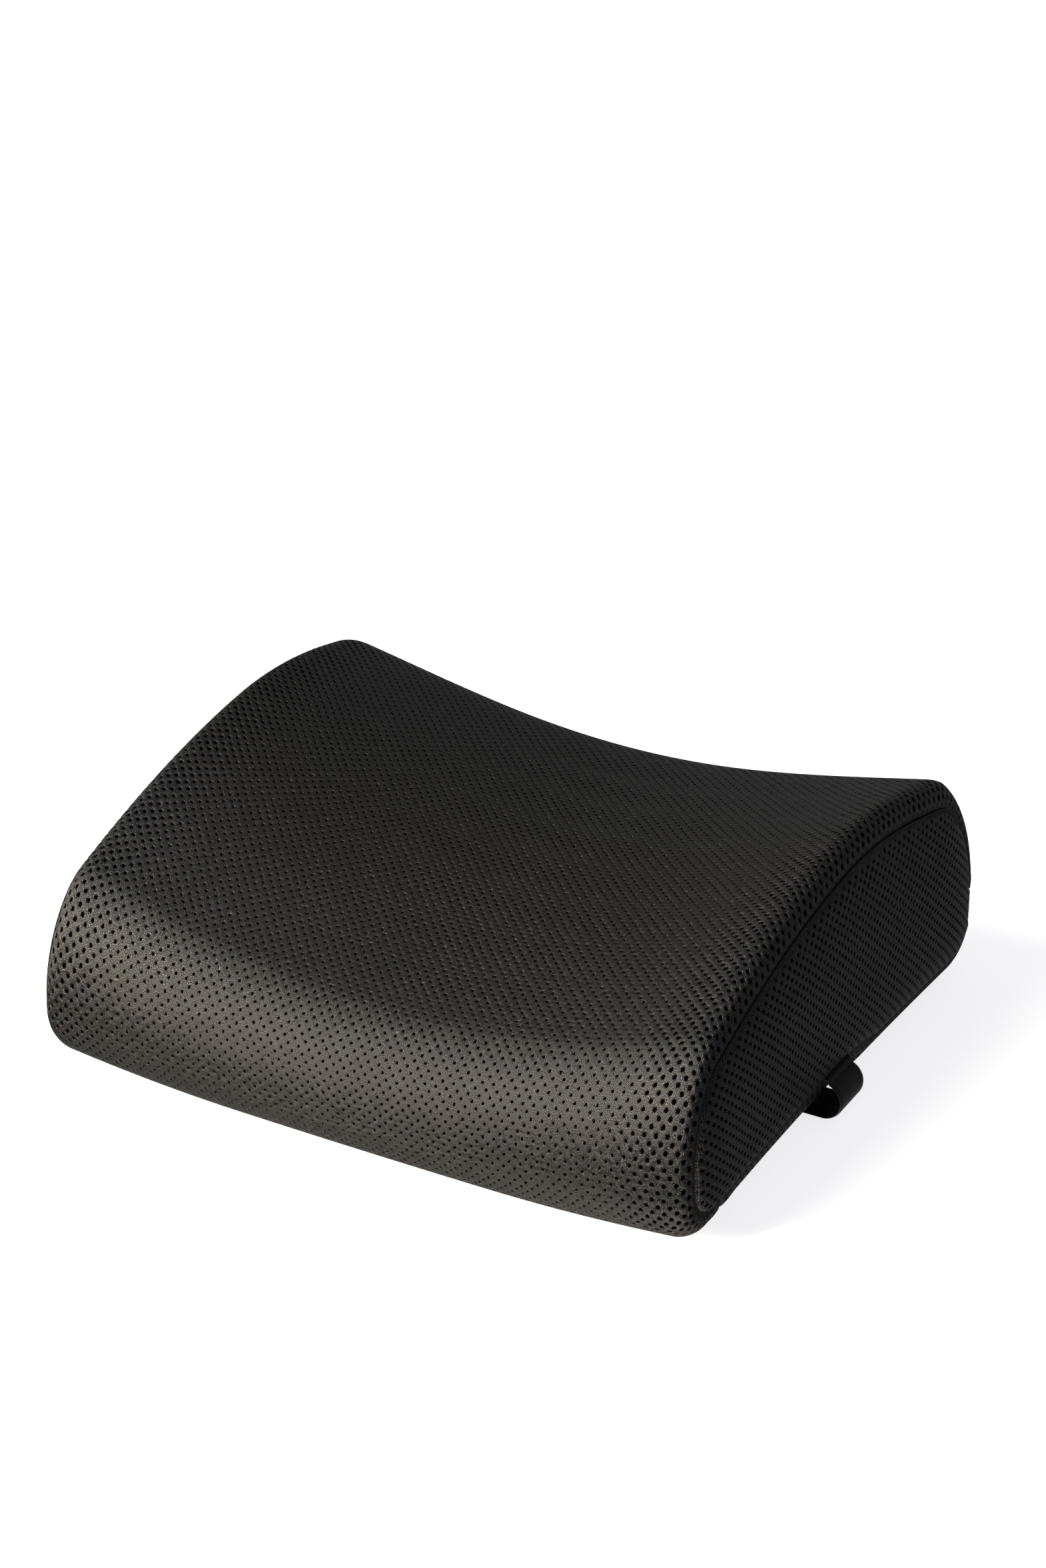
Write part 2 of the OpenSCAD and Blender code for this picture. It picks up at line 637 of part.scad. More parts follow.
foam_core();
liner_sleeve();
liner_end(-1);  // liner_end_left
liner_end(1);  // liner_end_right
front_panel();
back_panel();
end_panel(-1);  // end_panel_left
end_panel(1);  // end_panel_right
end_seam(-1);  // end_seam_left
end_seam(1);  // end_seam_right
base_seam();
zip_end_tab(-1);  // zip_end_tab_left
zip_end_tab(1);  // zip_end_tab_right
zip_tape(1);  // zip_tape_upper
zip_tape(-1);  // zip_tape_lower
zip_teeth(1);  // zip_teeth_upper
zip_teeth(-1);  // zip_teeth_lower
zip_stops();
zip_slider();
zip_pull_tab();
strap_left();
strap_right();
strap_fold_stitches();
tail_hem_stitches();
buckle_socket();
buckle_plug();
buckle_prong(-1);  // buckle_prong_near
buckle_prong(1);  // buckle_prong_far
strap_keeper();
care_label();
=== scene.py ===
import math

import bmesh
import bpy
import numpy as np
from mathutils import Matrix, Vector


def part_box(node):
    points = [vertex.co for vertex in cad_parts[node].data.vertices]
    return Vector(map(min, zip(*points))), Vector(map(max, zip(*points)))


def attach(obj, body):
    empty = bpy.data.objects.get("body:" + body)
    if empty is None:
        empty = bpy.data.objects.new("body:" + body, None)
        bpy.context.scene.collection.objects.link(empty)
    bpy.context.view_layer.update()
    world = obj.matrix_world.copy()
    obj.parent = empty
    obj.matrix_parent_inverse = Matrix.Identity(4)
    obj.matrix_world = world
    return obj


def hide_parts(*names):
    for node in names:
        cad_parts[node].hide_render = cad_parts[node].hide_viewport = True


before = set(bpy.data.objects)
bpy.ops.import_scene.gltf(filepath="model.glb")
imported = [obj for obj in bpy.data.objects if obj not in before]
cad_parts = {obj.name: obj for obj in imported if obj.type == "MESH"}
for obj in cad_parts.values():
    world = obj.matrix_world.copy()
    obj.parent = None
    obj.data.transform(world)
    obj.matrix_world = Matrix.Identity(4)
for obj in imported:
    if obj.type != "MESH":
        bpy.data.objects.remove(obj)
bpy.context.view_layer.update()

# ---- Sizes of the cushion, in millimetres --------------------------------------
# They are the CAD's, but for a rounder nose and ends that stand out a little more, as a filled
# cover's do.
MM = 0.001
CUSHION_W = 340.0          # width from end panel to end panel
CUSHION_D = 310.0          # depth from the thin edge to the thick edge
NEAR_H = 64.0              # height of the thin edge
FAR_H = 86.0               # height of the thick edge at mid width
HORN_RISE = 29.0           # how much higher the top stands at its two ends
END_CROWN = 13.0           # extra crown there
FAR_FALL = 11.0            # how far the two corners at the thick edge fall away
TOP_CROWN = 17.0           # extra height between the thin and the thick edge
HOLLOW_H = 12.0            # the hollow underneath
END_LIFT = 7.0             # lift of the underside at its two ends
NEAR_TAPER = 2.0           # how much narrower each side is at the thin edge
WAIST = 3.0                # how far each end pulls in between its corners
END_SWELL = 7.0            # how far each end panel swells out
EDGE_R = 12.0              # rounding between the wrap and the end panels
# Radii of the section's corners: under and over the thin edge, under and over the thick one.
NEAR_LOW_R, NEAR_TOP_R, FAR_LOW_R, FAR_TOP_R = 23.0, 37.0, 28.0, 43.0
FOOT_SEAM = 14.0           # the cover's lower seam, from the nose's foot
SEAM_W = 2.0               # room between the two panels underneath
ZIP_DENT = 5.5             # how far the zip is sunk
FLARE = 4.0                # how far the cover spreads at the foot of each end
FAR_SPREAD = 2.5           # how much wider each side is at the thick edge
SEAM_TURN = math.radians(82)    # how far the wrap follows the rounded edge, to the seam's line
HALF_W, HALF_D = CUSHION_W / 2, CUSHION_D / 2
ZIP_Z = (FAR_LOW_R + FAR_H - FAR_TOP_R) / 2
ZIP_ROOM = FAR_H - FAR_TOP_R - FAR_LOW_R
HOLLOW_FROM, HOLLOW_TO = 0.2, 0.86     # the hollow's shares of the depth
DOME_FROM, DOME_FADE = 0.45, 0.5       # it ends over these shares of the half width
FOOT_FROM = 0.38           # share of the half width from which the underside lifts
LIFT_TO = 0.4              # share of the height that the lift reaches
FALL_FROM = 0.55           # share of the depth from which the far corners fall away
ZIP_BLEND = 11.0           # how far the dent along the zip fades above and below it

# ---- Sizes of the knit and of the threads, in millimetres ----------------------
HOLE_PITCH_X = 5.6         # rows of holes are staggered: one hole per cell and one between four
HOLE_PITCH_S = 5.4
END_PITCH_Y = 6.0
END_PITCH_Z = 5.3
GRID = 0.93                # spacing of the cover's fine mesh, a sixth of the holes' pitch
BACK_GRID = 1.35           # the same underneath, where the camera seldom goes
END_GRID = 0.9114          # the same on the end panels, round their rims
OPEN_FROM, OPEN_OVER = 128.0, 30.0     # the wrap's holes widen from here, towards each end
OPEN_MIDDLE, OPEN_END = 0.45, 0.8      # how open they are between, and on the end panels
HOLE_DEPTH = 0.75          # how deep the holes are cut in the mesh; the finish paints them near-black, as painted shade for their dark insides
END_HOLE_DEPTH = 0.7
SKIN = 3.3                 # depth of the liner below the cover's outside
FOAM = 4.5                 # depth of the foam below the cover's outside


def shade(hex_colour):
    """An sRGB hex colour as linear red, green, blue and alpha 1."""
    parts = [int(hex_colour[i:i + 2], 16) / 255 for i in (1, 3, 5)]
    return (*[c / 12.92 if c <= 0.04045 else ((c + 0.055) / 1.055) ** 2.4 for c in parts], 1)


# ---- Camera, floor and light ---------------------------------------------------
def place_camera():
    """The camera on a sphere round its target: back = (sin a cos e, -cos a cos e, sin e)."""
    azimuth, elevation = math.radians(29.4), math.radians(27.1)
    distance = 1.743
    target = Vector((-0.008, 0.020, 0.115))
    back = Vector((math.sin(azimuth) * math.cos(elevation),
                   -math.cos(azimuth) * math.cos(elevation), math.sin(elevation)))
    camera = bpy.data.objects.new("camera", bpy.data.cameras.new("camera"))
    camera.data.sensor_width = 36
    camera.data.lens = 84.1
    camera.data.clip_start, camera.data.clip_end = 0.05, 50
    camera.location = target + back * distance
    camera.rotation_mode = "QUATERNION"
    camera.rotation_quaternion = (-back).to_track_quat("-Z", "Y")
    bpy.context.scene.collection.objects.link(camera)
    bpy.context.scene.camera = camera


def softbox(name, direction, distance, size, power, colour="#ffffff"):
    """An oblong light at a distance along a direction, turned to the cushion."""
    light = bpy.data.lights.new(name, "AREA")
    light.shape = "RECTANGLE"
    light.size, light.size_y = size
    light.energy = power
    light.color = shade(colour)[:3]
    lamp = bpy.data.objects.new(name, light)
    way = Vector(direction).normalized()
    cushion_middle = Vector((0, 0, 0.05))
    lamp.location = cushion_middle + way * distance
    lamp.rotation_mode = "QUATERNION"
    lamp.rotation_quaternion = (-way).to_track_quat("-Z", "Y")
    lamp.visible_camera = False
    bpy.context.scene.collection.objects.link(lamp)


def light_the_studio():
    """A white studio: a low warm box in front for the band of light along the nose, a broad one
    above it for the top, a weak one from below for the underside, and a dim white surround."""
    bpy.context.scene.view_settings.view_transform = "Standard"
    world = bpy.data.worlds.new("white studio")
    bpy.context.scene.world = world
    world.use_nodes = True
    background = world.node_tree.nodes["Background"]
    background.inputs["Color"].default_value = shade("#fbfbff")
    background.inputs["Strength"].default_value = 0.16
    softbox("front box", (-0.47, -0.82, 0.34), 1.8, (0.7, 0.6), 64, "#fff0dc")
    softbox("top box", (-0.42, -0.55, 0.72), 1.8, (1.2, 0.7), 34, "#fffaf0")
    softbox("low fill", (0.1, -0.3, -0.95), 1.8, (1.2, 1.2), 22, "#fff3e4")


# ---- The cushion's shape -------------------------------------------------------
def section_table():
    """The section as the outline round four circles. Along each corner and side the circle's
    centre, its radius and the normal's angle run evenly, so a table of their values at the joins
    is the whole outline. The walk starts under the thin edge and ends one side after a full
    turn."""
    corners = [(NEAR_LOW_R, NEAR_LOW_R, NEAR_LOW_R),
               (CUSHION_D - FAR_LOW_R, FAR_LOW_R, FAR_LOW_R),
               (CUSHION_D - FAR_TOP_R, FAR_H - FAR_TOP_R, FAR_TOP_R),
               (NEAR_TOP_R, NEAR_H - NEAR_TOP_R, NEAR_TOP_R)]
    length, rows = 0.0, []
    angle = -math.pi / 2
    for k in range(5):
        a, b = corners[k % 4], corners[(k + 1) % 4]
        gap = math.hypot(b[0] - a[0], b[1] - a[1])
        side = math.atan2(b[1] - a[1], b[0] - a[0]) - math.acos((a[2] - b[2]) / gap)
        while side < angle - 1e-9:
            side += 2 * math.pi
        length += a[2] * (side - angle) if k else 0.0
        angle = side
        rows.append((length, *a, angle))
        length += math.sqrt(gap ** 2 - (a[2] - b[2]) ** 2)
        rows.append((length, *b, angle))
    return np.array(rows).T


MARKS = section_table()
S_BACK_SEAM = FOOT_SEAM + SEAM_W     # where the back panel starts on the underside
S_ZIP_LOW, S_ZIP_TOP = MARKS[0, 2], MARKS[0, 3]
S_ROUND = MARKS[0, 8]                # once round the section
S_FRONT_END = S_ROUND + FOOT_SEAM


def section(s, inset):
    """Depth and height on the outline: circle's centre + (radius - inset) * normal."""
    y, z, r, a = (np.interp(s, MARKS[0], row) for row in MARKS[1:])
    return y + (r - inset) * np.cos(a), z + (r - inset) * np.sin(a)


def smooth(v):
    v = np.clip(v, 0, 1)
    return v * v * (3 - 2 * v)


def narrowing(t):
    """Share of the width at the depth t: less at the thin edge, more at the thick one, waisted."""
    change = FAR_SPREAD * t * t - NEAR_TAPER * (1 - t) - WAIST * np.sin(math.pi * t)
    return 1 + change / HALF_W


def moulded(x, p0, p1):
    """A point of the flat section carried to the moulded cushion: sides pulled in, the top's
    crown 4t(1-t), the domed hollow below, ends that rise as the square of the width and fall away
    at the far corners as its fourth power, a lifted underside at the ends, a spread foot and a
    dent along the zip."""
    t = np.clip(p0 / CUSHION_D, 0, 1)
    h = np.clip(p1 / (NEAR_H + (FAR_H - NEAR_H) * t), 0, 1)
    u = np.abs(x) / HALF_W
    across = np.clip((t - HOLLOW_FROM) / (HOLLOW_TO - HOLLOW_FROM), 0, 1)
    arch = np.sin(math.pi * across) ** 2
    dome = 1 - smooth((u - DOME_FROM) / DOME_FADE)
    foot = np.clip((u - FOOT_FROM) / (1 - FOOT_FROM), 0, None) ** 2
    level = 0.5 * smooth((t - 0.5) / 0.4)
    rise = np.clip((h - level) / (1 - level), 0, 1)
    thick_side = t > 0.8
    dent = ZIP_DENT * thick_side * (1 - smooth((np.abs(p1 - ZIP_Z) - ZIP_ROOM / 2) / ZIP_BLEND))
    dent = dent * (1 - smooth((u - 1 + EDGE_R / HALF_W) * HALF_W / EDGE_R))
    lift = END_LIFT * foot * np.clip(1 - h / LIFT_TO, 0, 1) ** 1.5
    fall = FAR_FALL * u * u * smooth((t - FALL_FROM) / (1 - FALL_FROM))
    ends = (HORN_RISE + END_CROWN * 4 * t * (1 - t) - fall) * u * u * rise
    hollow = HOLLOW_H * arch * dome * (1 - h)
    height = p1 + TOP_CROWN * 4 * t * (1 - t) * h + hollow + ends + lift
    width = narrowing(t) + FLARE / HALF_W * u * u * (1 - h) * (1 - t * t)
    return np.stack([x * width, p0 - HALF_D - dent, height], -1)


WRAP_HALF = HALF_W - EDGE_R + EDGE_R * SEAM_TURN
BULGE = 3.0                # how far the filled cover stands out between its seams
SPINE_LENGTH = 0.68        # length of the line along each end's middle, as a share of the depth
SPINE_Z, SPINE_RISE = 47.0, 8.0         # its height, and what it gains and loses at its two tips
SEAM_GAP = 0.35            # room between the wrap's edge and the end panel's


def across_edge(w, depth):
    """Place and inset of a point w along the wrap's width: straight, then round the edge."""
    turn = np.clip((np.abs(w) - (HALF_W - EDGE_R)) / EDGE_R, 0, None)
    x = np.minimum(np.abs(w), HALF_W - EDGE_R) + (EDGE_R - depth) * np.sin(turn)
    return np.sign(w) * x, EDGE_R - (EDGE_R - depth) * np.cos(turn)


def wrap_grid(s, w, depth=0.0):
    """Points of the wrap at lengths s round the section and w across it, depth mm below the
    cover's outside."""
    x, inset = across_edge(w, depth)
    p0, p1 = section(s[:, None], inset[None, :])
    return moulded(np.broadcast_to(x, p0.shape), p0, p1)


def outward(points):
    """Unit normals of a grid of points, from the cross product of its two directions."""
    n = np.cross(np.gradient(points, axis=0), np.gradient(points, axis=1))
    return n / np.maximum(np.linalg.norm(n, axis=-1, keepdims=True), 1e-9)


def end_grid(side, s, share, depth=0.0, gap=0.0):
    """One end: from its rim, point by point, straight in to a spine along its middle. share is 1
    on the rim and 0 on the spine, and the end swells by END_SWELL * (1 - share^4). gap sets the
    rim in from the wrap's edge."""
    x, inset = across_edge(np.array([WRAP_HALF]), depth)
    rim = moulded(np.full_like(s, side * x[0]), *section(s, inset[0] + gap))
    height = SPINE_Z + SPINE_RISE * rim[:, 1] / HALF_D
    spine = np.stack([rim[:, 0], rim[:, 1] * SPINE_LENGTH, height], -1)
    points = spine + (rim - spine) * share[:, None, None]
    own = x[0] * narrowing(np.clip((points[..., 1] + HALF_D) / CUSHION_D, 0, 1))
    spread = (np.abs(rim[:, 0]) - own[0]) * share[:, None] ** 2
    points[..., 0] = side * (own + spread + END_SWELL * (1 - share[:, None] ** 4))
    return points


# ---- Meshes from grids ---------------------------------------------------------
def quads(rows, cols, wrap=False, ring=False):
    """Corners of a grid's faces. wrap closes each row on itself, ring the last row on the first."""
    i = np.arange(rows if ring else rows - 1)[:, None]
    j = np.arange(cols if wrap else cols - 1)[None, :]
    k, n = (j + 1) % cols, (i + 1) % rows
    return np.stack([i * cols + j, n * cols + j, n * cols + k, i * cols + k], -1).reshape(-1, 4)


def piece(name, points, faces, body="cushion", uv=None, values=None, material=None,
          slot=None, stands_for=(), smooth_faces=True, caps=()):
    """A mesh object from points in millimetres, corner indices, a UV for each point and named
    values for each point, which rides on a body."""
    mesh = bpy.data.meshes.new(name)
    flat = np.asarray(points, float).reshape(-1, 3) * MM
    mesh.vertices.add(len(flat))
    mesh.vertices.foreach_set("co", flat.astype(np.float32).ravel())
    corners = [np.asarray(faces)] + [np.asarray(c)[None, :] for c in caps]
    loops = np.concatenate([c.ravel() for c in corners])
    sizes = np.concatenate([np.full(len(c), c.shape[1]) for c in corners])
    mesh.loops.add(len(loops))
    mesh.loops.foreach_set("vertex_index", loops.astype(np.int32))
    mesh.polygons.add(len(sizes))
    starts = np.concatenate([[0], np.cumsum(sizes)[:-1]])
    mesh.polygons.foreach_set("loop_start", starts.astype(np.int32))
    mesh.polygons.foreach_set("use_smooth", np.full(len(sizes), smooth_faces))
    mesh.update(calc_edges=True)
    if uv is not None:
        layer = mesh.uv_layers.new(name="cloth")
        layer.uv.foreach_set("vector", np.asarray(uv, np.float32).reshape(-1, 2)[loops].ravel())
    for key, data in (values or {}).items():
        field = mesh.attributes.new(key, "FLOAT", "POINT")
        field.data.foreach_set("value", np.asarray(data, np.float32).ravel())
    mesh.validate()
    thing = bpy.data.objects.new(name, mesh)
    bpy.context.scene.collection.objects.link(thing)
    if material is not None:
        mesh.materials.append(material)
    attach(thing, body)
    if stands_for:
        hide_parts(*stands_for)
    return thing


def knit_relief(u, v, opened):
    """Share of a hole at each point: holes stand where cos(2 pi u) cos(2 pi v) is 1, which is at
    whole cells and half way between them. opened, 0 to 1, lowers the edge and so widens them."""
    field = np.cos(2 * math.pi * u) * np.cos(2 * math.pi * v)
    narrow_edge, wall = 0.72, 0.42
    return smooth((field - (narrow_edge - wall * opened)) / wall)


def whole_knit(distance):
    """0 at a seam, where the knit is folded under and shows no holes, to 1 from 3 mm on."""
    return smooth((distance - 1.0) / 2.0)


def tucked(distance, depth=1.8, pillow=0.55):
    """Height of a panel at a distance from its seam: pulled in at the seam by
    depth * exp(-(distance / run)^2), with a low swelling at its crest beside it."""
    run, crest = 1.15, 6.0
    pulled = depth * np.exp(-(distance / run) ** 2)
    return pillow * np.exp(-((distance - crest) / crest * 1.3) ** 2) - pulled


def settle(points, depth=0.0):
    """What would hang below the ground is pressed flat, at the depth of its own layer above it."""
    points[..., 2] = np.maximum(points[..., 2], depth)
    return points


def lines(low, high, step):
    """Evenly spaced numbers from low to high, about a step apart."""
    return np.linspace(low, high, int(round((high - low) / step)) + 1)


def filled_cover():
    """How far the cloth stands out over the foam. A coarse bag of the cushion's shape, held along
    its seams and at its ends, is blown up as cloth for 20 frames. The result is a table over the
    length round the section and the width: out * (1 + normal z), since the side that the cushion
    lies on swells least. It is given as shares of nearly the largest value, which bulge() scales
    down to what foam inside lets the cloth do."""
    cell, last_frame, seam_room = 7.0, 20, 6.0
    s, w = lines(0, S_ROUND, cell)[:-1], lines(-WRAP_HALF, WRAP_HALF, cell)
    wrap = wrap_grid(s, w)
    share = np.linspace(1, 0.1, 4)
    low, high = (end_grid(side, s, share) for side in (-1, 1))
    rows = np.concatenate([low[::-1], wrap.transpose(1, 0, 2)[1:-1], high])
    held = np.ones(rows.shape[:2])
    free = (np.abs(s - S_BACK_SEAM) > seam_room) & ((s < S_ZIP_LOW) | (s > S_ZIP_TOP))
    held[len(share):-len(share)] = np.where(free, 0.0, 1.0)[None, :]
    count = len(s)
    caps = (np.arange(count), (len(rows) - 1) * count + np.arange(count)[::-1])
    bag = piece("bag", rows, quads(len(rows), count, wrap=True)[:, ::-1], caps=caps)
    pins = bag.vertex_groups.new(name="held")
    pins.add(np.flatnonzero(held.ravel() > 0.5).tolist(), 1.0, "REPLACE")
    cloth = bag.modifiers.new("cloth", "CLOTH")
    cloth.settings.quality = 8
    cloth.settings.tension_stiffness = cloth.settings.compression_stiffness = 1000
    cloth.settings.bending_stiffness = 50
    cloth.settings.vertex_group_mass = "held"
    cloth.settings.use_pressure = True
    cloth.settings.uniform_pressure_force = 4
    cloth.settings.effector_weights.gravity = 0
    cloth.point_cache.frame_start, cloth.point_cache.frame_end = 1, last_frame
    for frame_number in range(1, last_frame + 1):
        bpy.context.scene.frame_set(frame_number)
    shown = bag.evaluated_get(bpy.context.evaluated_depsgraph_get()).data
    after = np.empty(rows.size, np.float32)
    shown.vertices.foreach_get("co", after)
    inner = slice(len(share) - 1, 1 - len(share))
    moved = (after.reshape(rows.shape) / MM - rows)[inner].transpose(1, 0, 2)
    bpy.data.objects.remove(bag)
    bpy.context.scene.frame_set(1)
    normal = outward(wrap)
    least = 0.25
    out = (moved * normal).sum(-1) * np.clip(1 + normal[..., 2], least, 1)
    return s, w, out / np.percentile(out, 99)


def bulge(table, s, w):
    """The filled cover's table read between its points, in millimetres: straight across the
    width, eased round the section, and never more than BULGE."""
    at, to, values = table
    wide = np.stack([np.interp(w, to, row) for row in values])
    place = (s % S_ROUND) / S_ROUND * len(at)
    low = np.floor(place).astype(int)
    part = smooth(place - low)[:, None]
    low, high = low % len(at), (low + 1) % len(at)
    return BULGE * np.minimum(wide[low] * (1 - part) + wide[high] * part, 1)


def cover_panel(name, node, s0, s1, step, table, material):
    """A piece of the wrap between two lengths s0 and s1, with its bulge, holes and tucked edges."""
    s, w = lines(s0, s1, step), lines(-WRAP_HALF, WRAP_HALF, step)
    points = wrap_grid(s, w)
    to_side = WRAP_HALF - np.abs(w)[None, :]
    to_ends = np.minimum(s - s0, s1 - s)[:, None]
    stretch = smooth((np.abs(w)[None, :] - OPEN_FROM) / OPEN_OVER)
    opened = OPEN_MIDDLE + (1 - OPEN_MIDDLE) * stretch + 0 * to_ends
    u, v = np.meshgrid(w / HOLE_PITCH_X, s / HOLE_PITCH_S)
    whole = whole_knit(np.minimum(to_side, to_ends))
    holes = knit_relief(u, v, opened) * whole
    height = tucked(to_side) + tucked(to_ends, depth=1.3, pillow=0.3) - HOLE_DEPTH * holes
    height = height + bulge(table, s, w)
    points = settle(points + outward(points) * height[..., None])
    made = piece(name, points, quads(len(s), len(w)), uv=np.stack([u, v], -1),
                 values={"opened": opened, "whole": whole}, material=material, slot="mesh",
                 stands_for=(node,))


def cover_end(name, node, side, material):
    """One end panel, from the seam's line in to its spine."""
    # Points turn the other way round on the left, so that the faces point outwards there too.
    s = lines(0, S_ROUND, END_GRID)[:-1][::side]
    share = np.linspace(1, 0, 58)
    points = end_grid(side, s, share, gap=SEAM_GAP)
    rim_gap = np.linalg.norm(points - points[:1], axis=-1)
    u, v = points[..., 1] / END_PITCH_Y, points[..., 2] / END_PITCH_Z
    opened = np.full_like(u, OPEN_END)
    whole = whole_knit(rim_gap)
    holes = knit_relief(u, v, opened) * whole
    height = tucked(rim_gap, pillow=0.3) - END_HOLE_DEPTH * holes
    points[..., 0] += side * height
    made = piece(name, points, quads(len(share), len(s), wrap=True), uv=np.stack([u, v], -1),
                 values={"opened": opened, "whole": whole}, material=material, slot="mesh",
                 stands_for=(node,))


def inner_block(name, nodes, depth, step, material, slot):
    """A closed layer that lies under the cover at a depth: the wrap all round, and both ends."""
    s, w = lines(0, S_ROUND, step)[:-1], lines(-WRAP_HALF, WRAP_HALF, step)
    wrap = settle(wrap_grid(s, w, depth), depth).transpose(1, 0, 2)
    share = np.linspace(1, 0, 12)
    low, high = (settle(end_grid(side, s, share, depth), depth) for side in (-1, 1))
    rows = np.concatenate([low[::-1], wrap[1:-1], high])
    made = piece(name, rows, quads(len(rows), len(s), wrap=True)[:, ::-1], material=material,
                 slot=slot, stands_for=nodes)
    weld(made, 0.02)


def weld(thing, distance):
    """Merges points that lie within a distance, in millimetres, and points the faces outwards."""
    shape = bmesh.new()
    shape.from_mesh(thing.data)
    bmesh.ops.remove_doubles(shape, verts=shape.verts, dist=distance * MM)
    bmesh.ops.recalc_face_normals(shape, faces=shape.faces)
    shape.to_mesh(thing.data)
    shape.free()


def swept(name, path, across, up, profile, ring=False, **kw):
    """A closed profile (side, height) carried along a path: point = path + side * across
    + height * up. The UV runs round the profile and along the path, in millimetres."""
    steps = np.linalg.norm(np.diff(path, axis=0), axis=1)
    along = np.concatenate([[0], np.cumsum(steps)])
    points = (path[:, None] + profile[None, :, :1] * across[:, None]
              + profile[None, :, 1:] * up[:, None])
    rows, cols = points.shape[:2]
    sides = np.linalg.norm(np.diff(profile, axis=0), axis=1)
    uv = np.stack(np.meshgrid(np.concatenate([[0], np.cumsum(sides)]), along), -1)
    ends = [] if ring else [np.arange(cols), (rows - 1) * cols + np.arange(cols)[::-1]]
    made = piece(name, points, quads(rows, cols, wrap=True, ring=ring), uv=uv, caps=ends, **kw)
    weld(made, 0.001)


def thread_line(name, path, radius, nodes, ring=False):
    """A round thread along a path. Its profile's axes are the path's direction crossed with the
    way out from the cushion's middle."""
    along = np.gradient(path, axis=0)
    if ring:
        along = np.roll(path, -1, 0) - np.roll(path, 1, 0)
    along /= np.linalg.norm(along, axis=1, keepdims=True)
    out = path - np.array([0, 0, 45.0])
    side = np.cross(along, out)
    side /= np.linalg.norm(side, axis=1, keepdims=True)
    turn = np.linspace(0, 2 * math.pi, 8, endpoint=False)
    profile = radius * np.stack([np.cos(turn), np.sin(turn)], -1)
    swept(name, path, side, np.cross(side, along), profile, ring=ring, material=THREAD,
          slot="thread", stands_for=nodes)


def slab(name, outer, inner, cell=(1.0, 1.0), **kw):
    """A closed sheet between two grids of points, with the UV in cells across the grid."""
    rows, cols = outer.shape[:2]
    rim = np.concatenate([np.arange(cols), np.arange(1, rows) * cols + cols - 1,
                          (rows - 1) * cols + np.arange(cols - 1)[::-1],
                          np.arange(1, rows - 1)[::-1] * cols])
    face, count = quads(rows, cols), rows * cols
    ahead = np.roll(rim, -1)
    sides = np.stack([rim, ahead, ahead + count, rim + count], -1)
    u = np.cumsum(np.r_[0, np.linalg.norm(np.diff(outer[0], axis=0), axis=1)])
    v = np.cumsum(np.r_[0, np.linalg.norm(np.diff(outer[:, 0], axis=0), axis=1)])
    uv = np.stack(np.meshgrid(u / cell[0], v / cell[1]), -1).reshape(-1, 2)
    made = piece(name, np.concatenate([outer.reshape(-1, 3), inner.reshape(-1, 3)]),
                 np.concatenate([face, face[:, ::-1] + count, sides]),
                 uv=np.concatenate([uv, uv]), **kw)
    weld(made, 0.0001)


def beads(name, centres, along, up, half, power=1.0, **kw):
    """Many small rounded blocks: a superellipsoid of half sizes half, one for each centre, with
    its long axis along `along`. Point = centre + a*along + b*side + c*up, where a, b and c are
    half sizes times sines and cosines to a power: 1 is an ellipsoid, less is squarer."""
    rings, spans = 5, 8
    lat = np.linspace(-math.pi / 2, math.pi / 2, rings + 1)[:, None]
    lon = np.linspace(0, 2 * math.pi, spans, endpoint=False)[None, :]
    rounded = lambda v: np.sign(v) * np.abs(v) ** power
    a = rounded(np.sin(lat)) + 0 * lon
    b = rounded(np.cos(lat)) * rounded(np.cos(lon))
    c = rounded(np.cos(lat)) * rounded(np.sin(lon))
    unit = np.stack([a * half[0], b * half[1], c * half[2]], -1).reshape(-1, 3)
    along = along / np.linalg.norm(along, axis=-1, keepdims=True)
    side = np.cross(up, along)
    side = side / np.linalg.norm(side, axis=-1, keepdims=True)
    top = np.cross(along, side)
    axes = np.stack([along, side, top], 1)
    points = centres[:, None] + np.einsum("pk,nkd->npd", unit, axes)
    one = quads(rings + 1, spans, wrap=True)[:, ::-1]
    first = np.arange(len(centres)) * (rings + 1) * spans
    made = piece(name, points, (one[None] + first[:, None, None]).reshape(-1, 4), **kw)
    weld(made, 0.001)


def softened(node, width, material, body="cushion"):
    """A CAD piece with its sharp edges rounded by width: its triangles are merged into flat
    faces, then every edge that turns more than 25 degrees is bevelled."""
    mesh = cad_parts[node].data.copy()
    mesh.materials.clear()
    mesh.materials.append(material)
    shape = bmesh.new()
    shape.from_mesh(mesh)
    bmesh.ops.remove_doubles(shape, verts=shape.verts, dist=0.001 * MM)
    bmesh.ops.dissolve_limit(shape, angle_limit=math.radians(2), verts=shape.verts,
                             edges=shape.edges)
    bmesh.ops.recalc_face_normals(shape, faces=shape.faces)
    shape.to_mesh(mesh)
    shape.free()
    thing = bpy.data.objects.new(node + "_rounded", mesh)
    bpy.context.scene.collection.objects.link(thing)
    mesh.polygons.foreach_set("use_smooth", np.ones(len(mesh.polygons), bool))
    bevel = thing.modifiers.new("rounded edges", "BEVEL")
    bevel.width, bevel.segments, bevel.limit_method = width * MM, 3, "ANGLE"
    bevel.angle_limit = math.radians(25)
    bevel.harden_normals = True
    bevel.use_clamp_overlap = True
    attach(thing, body)
    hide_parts(node)


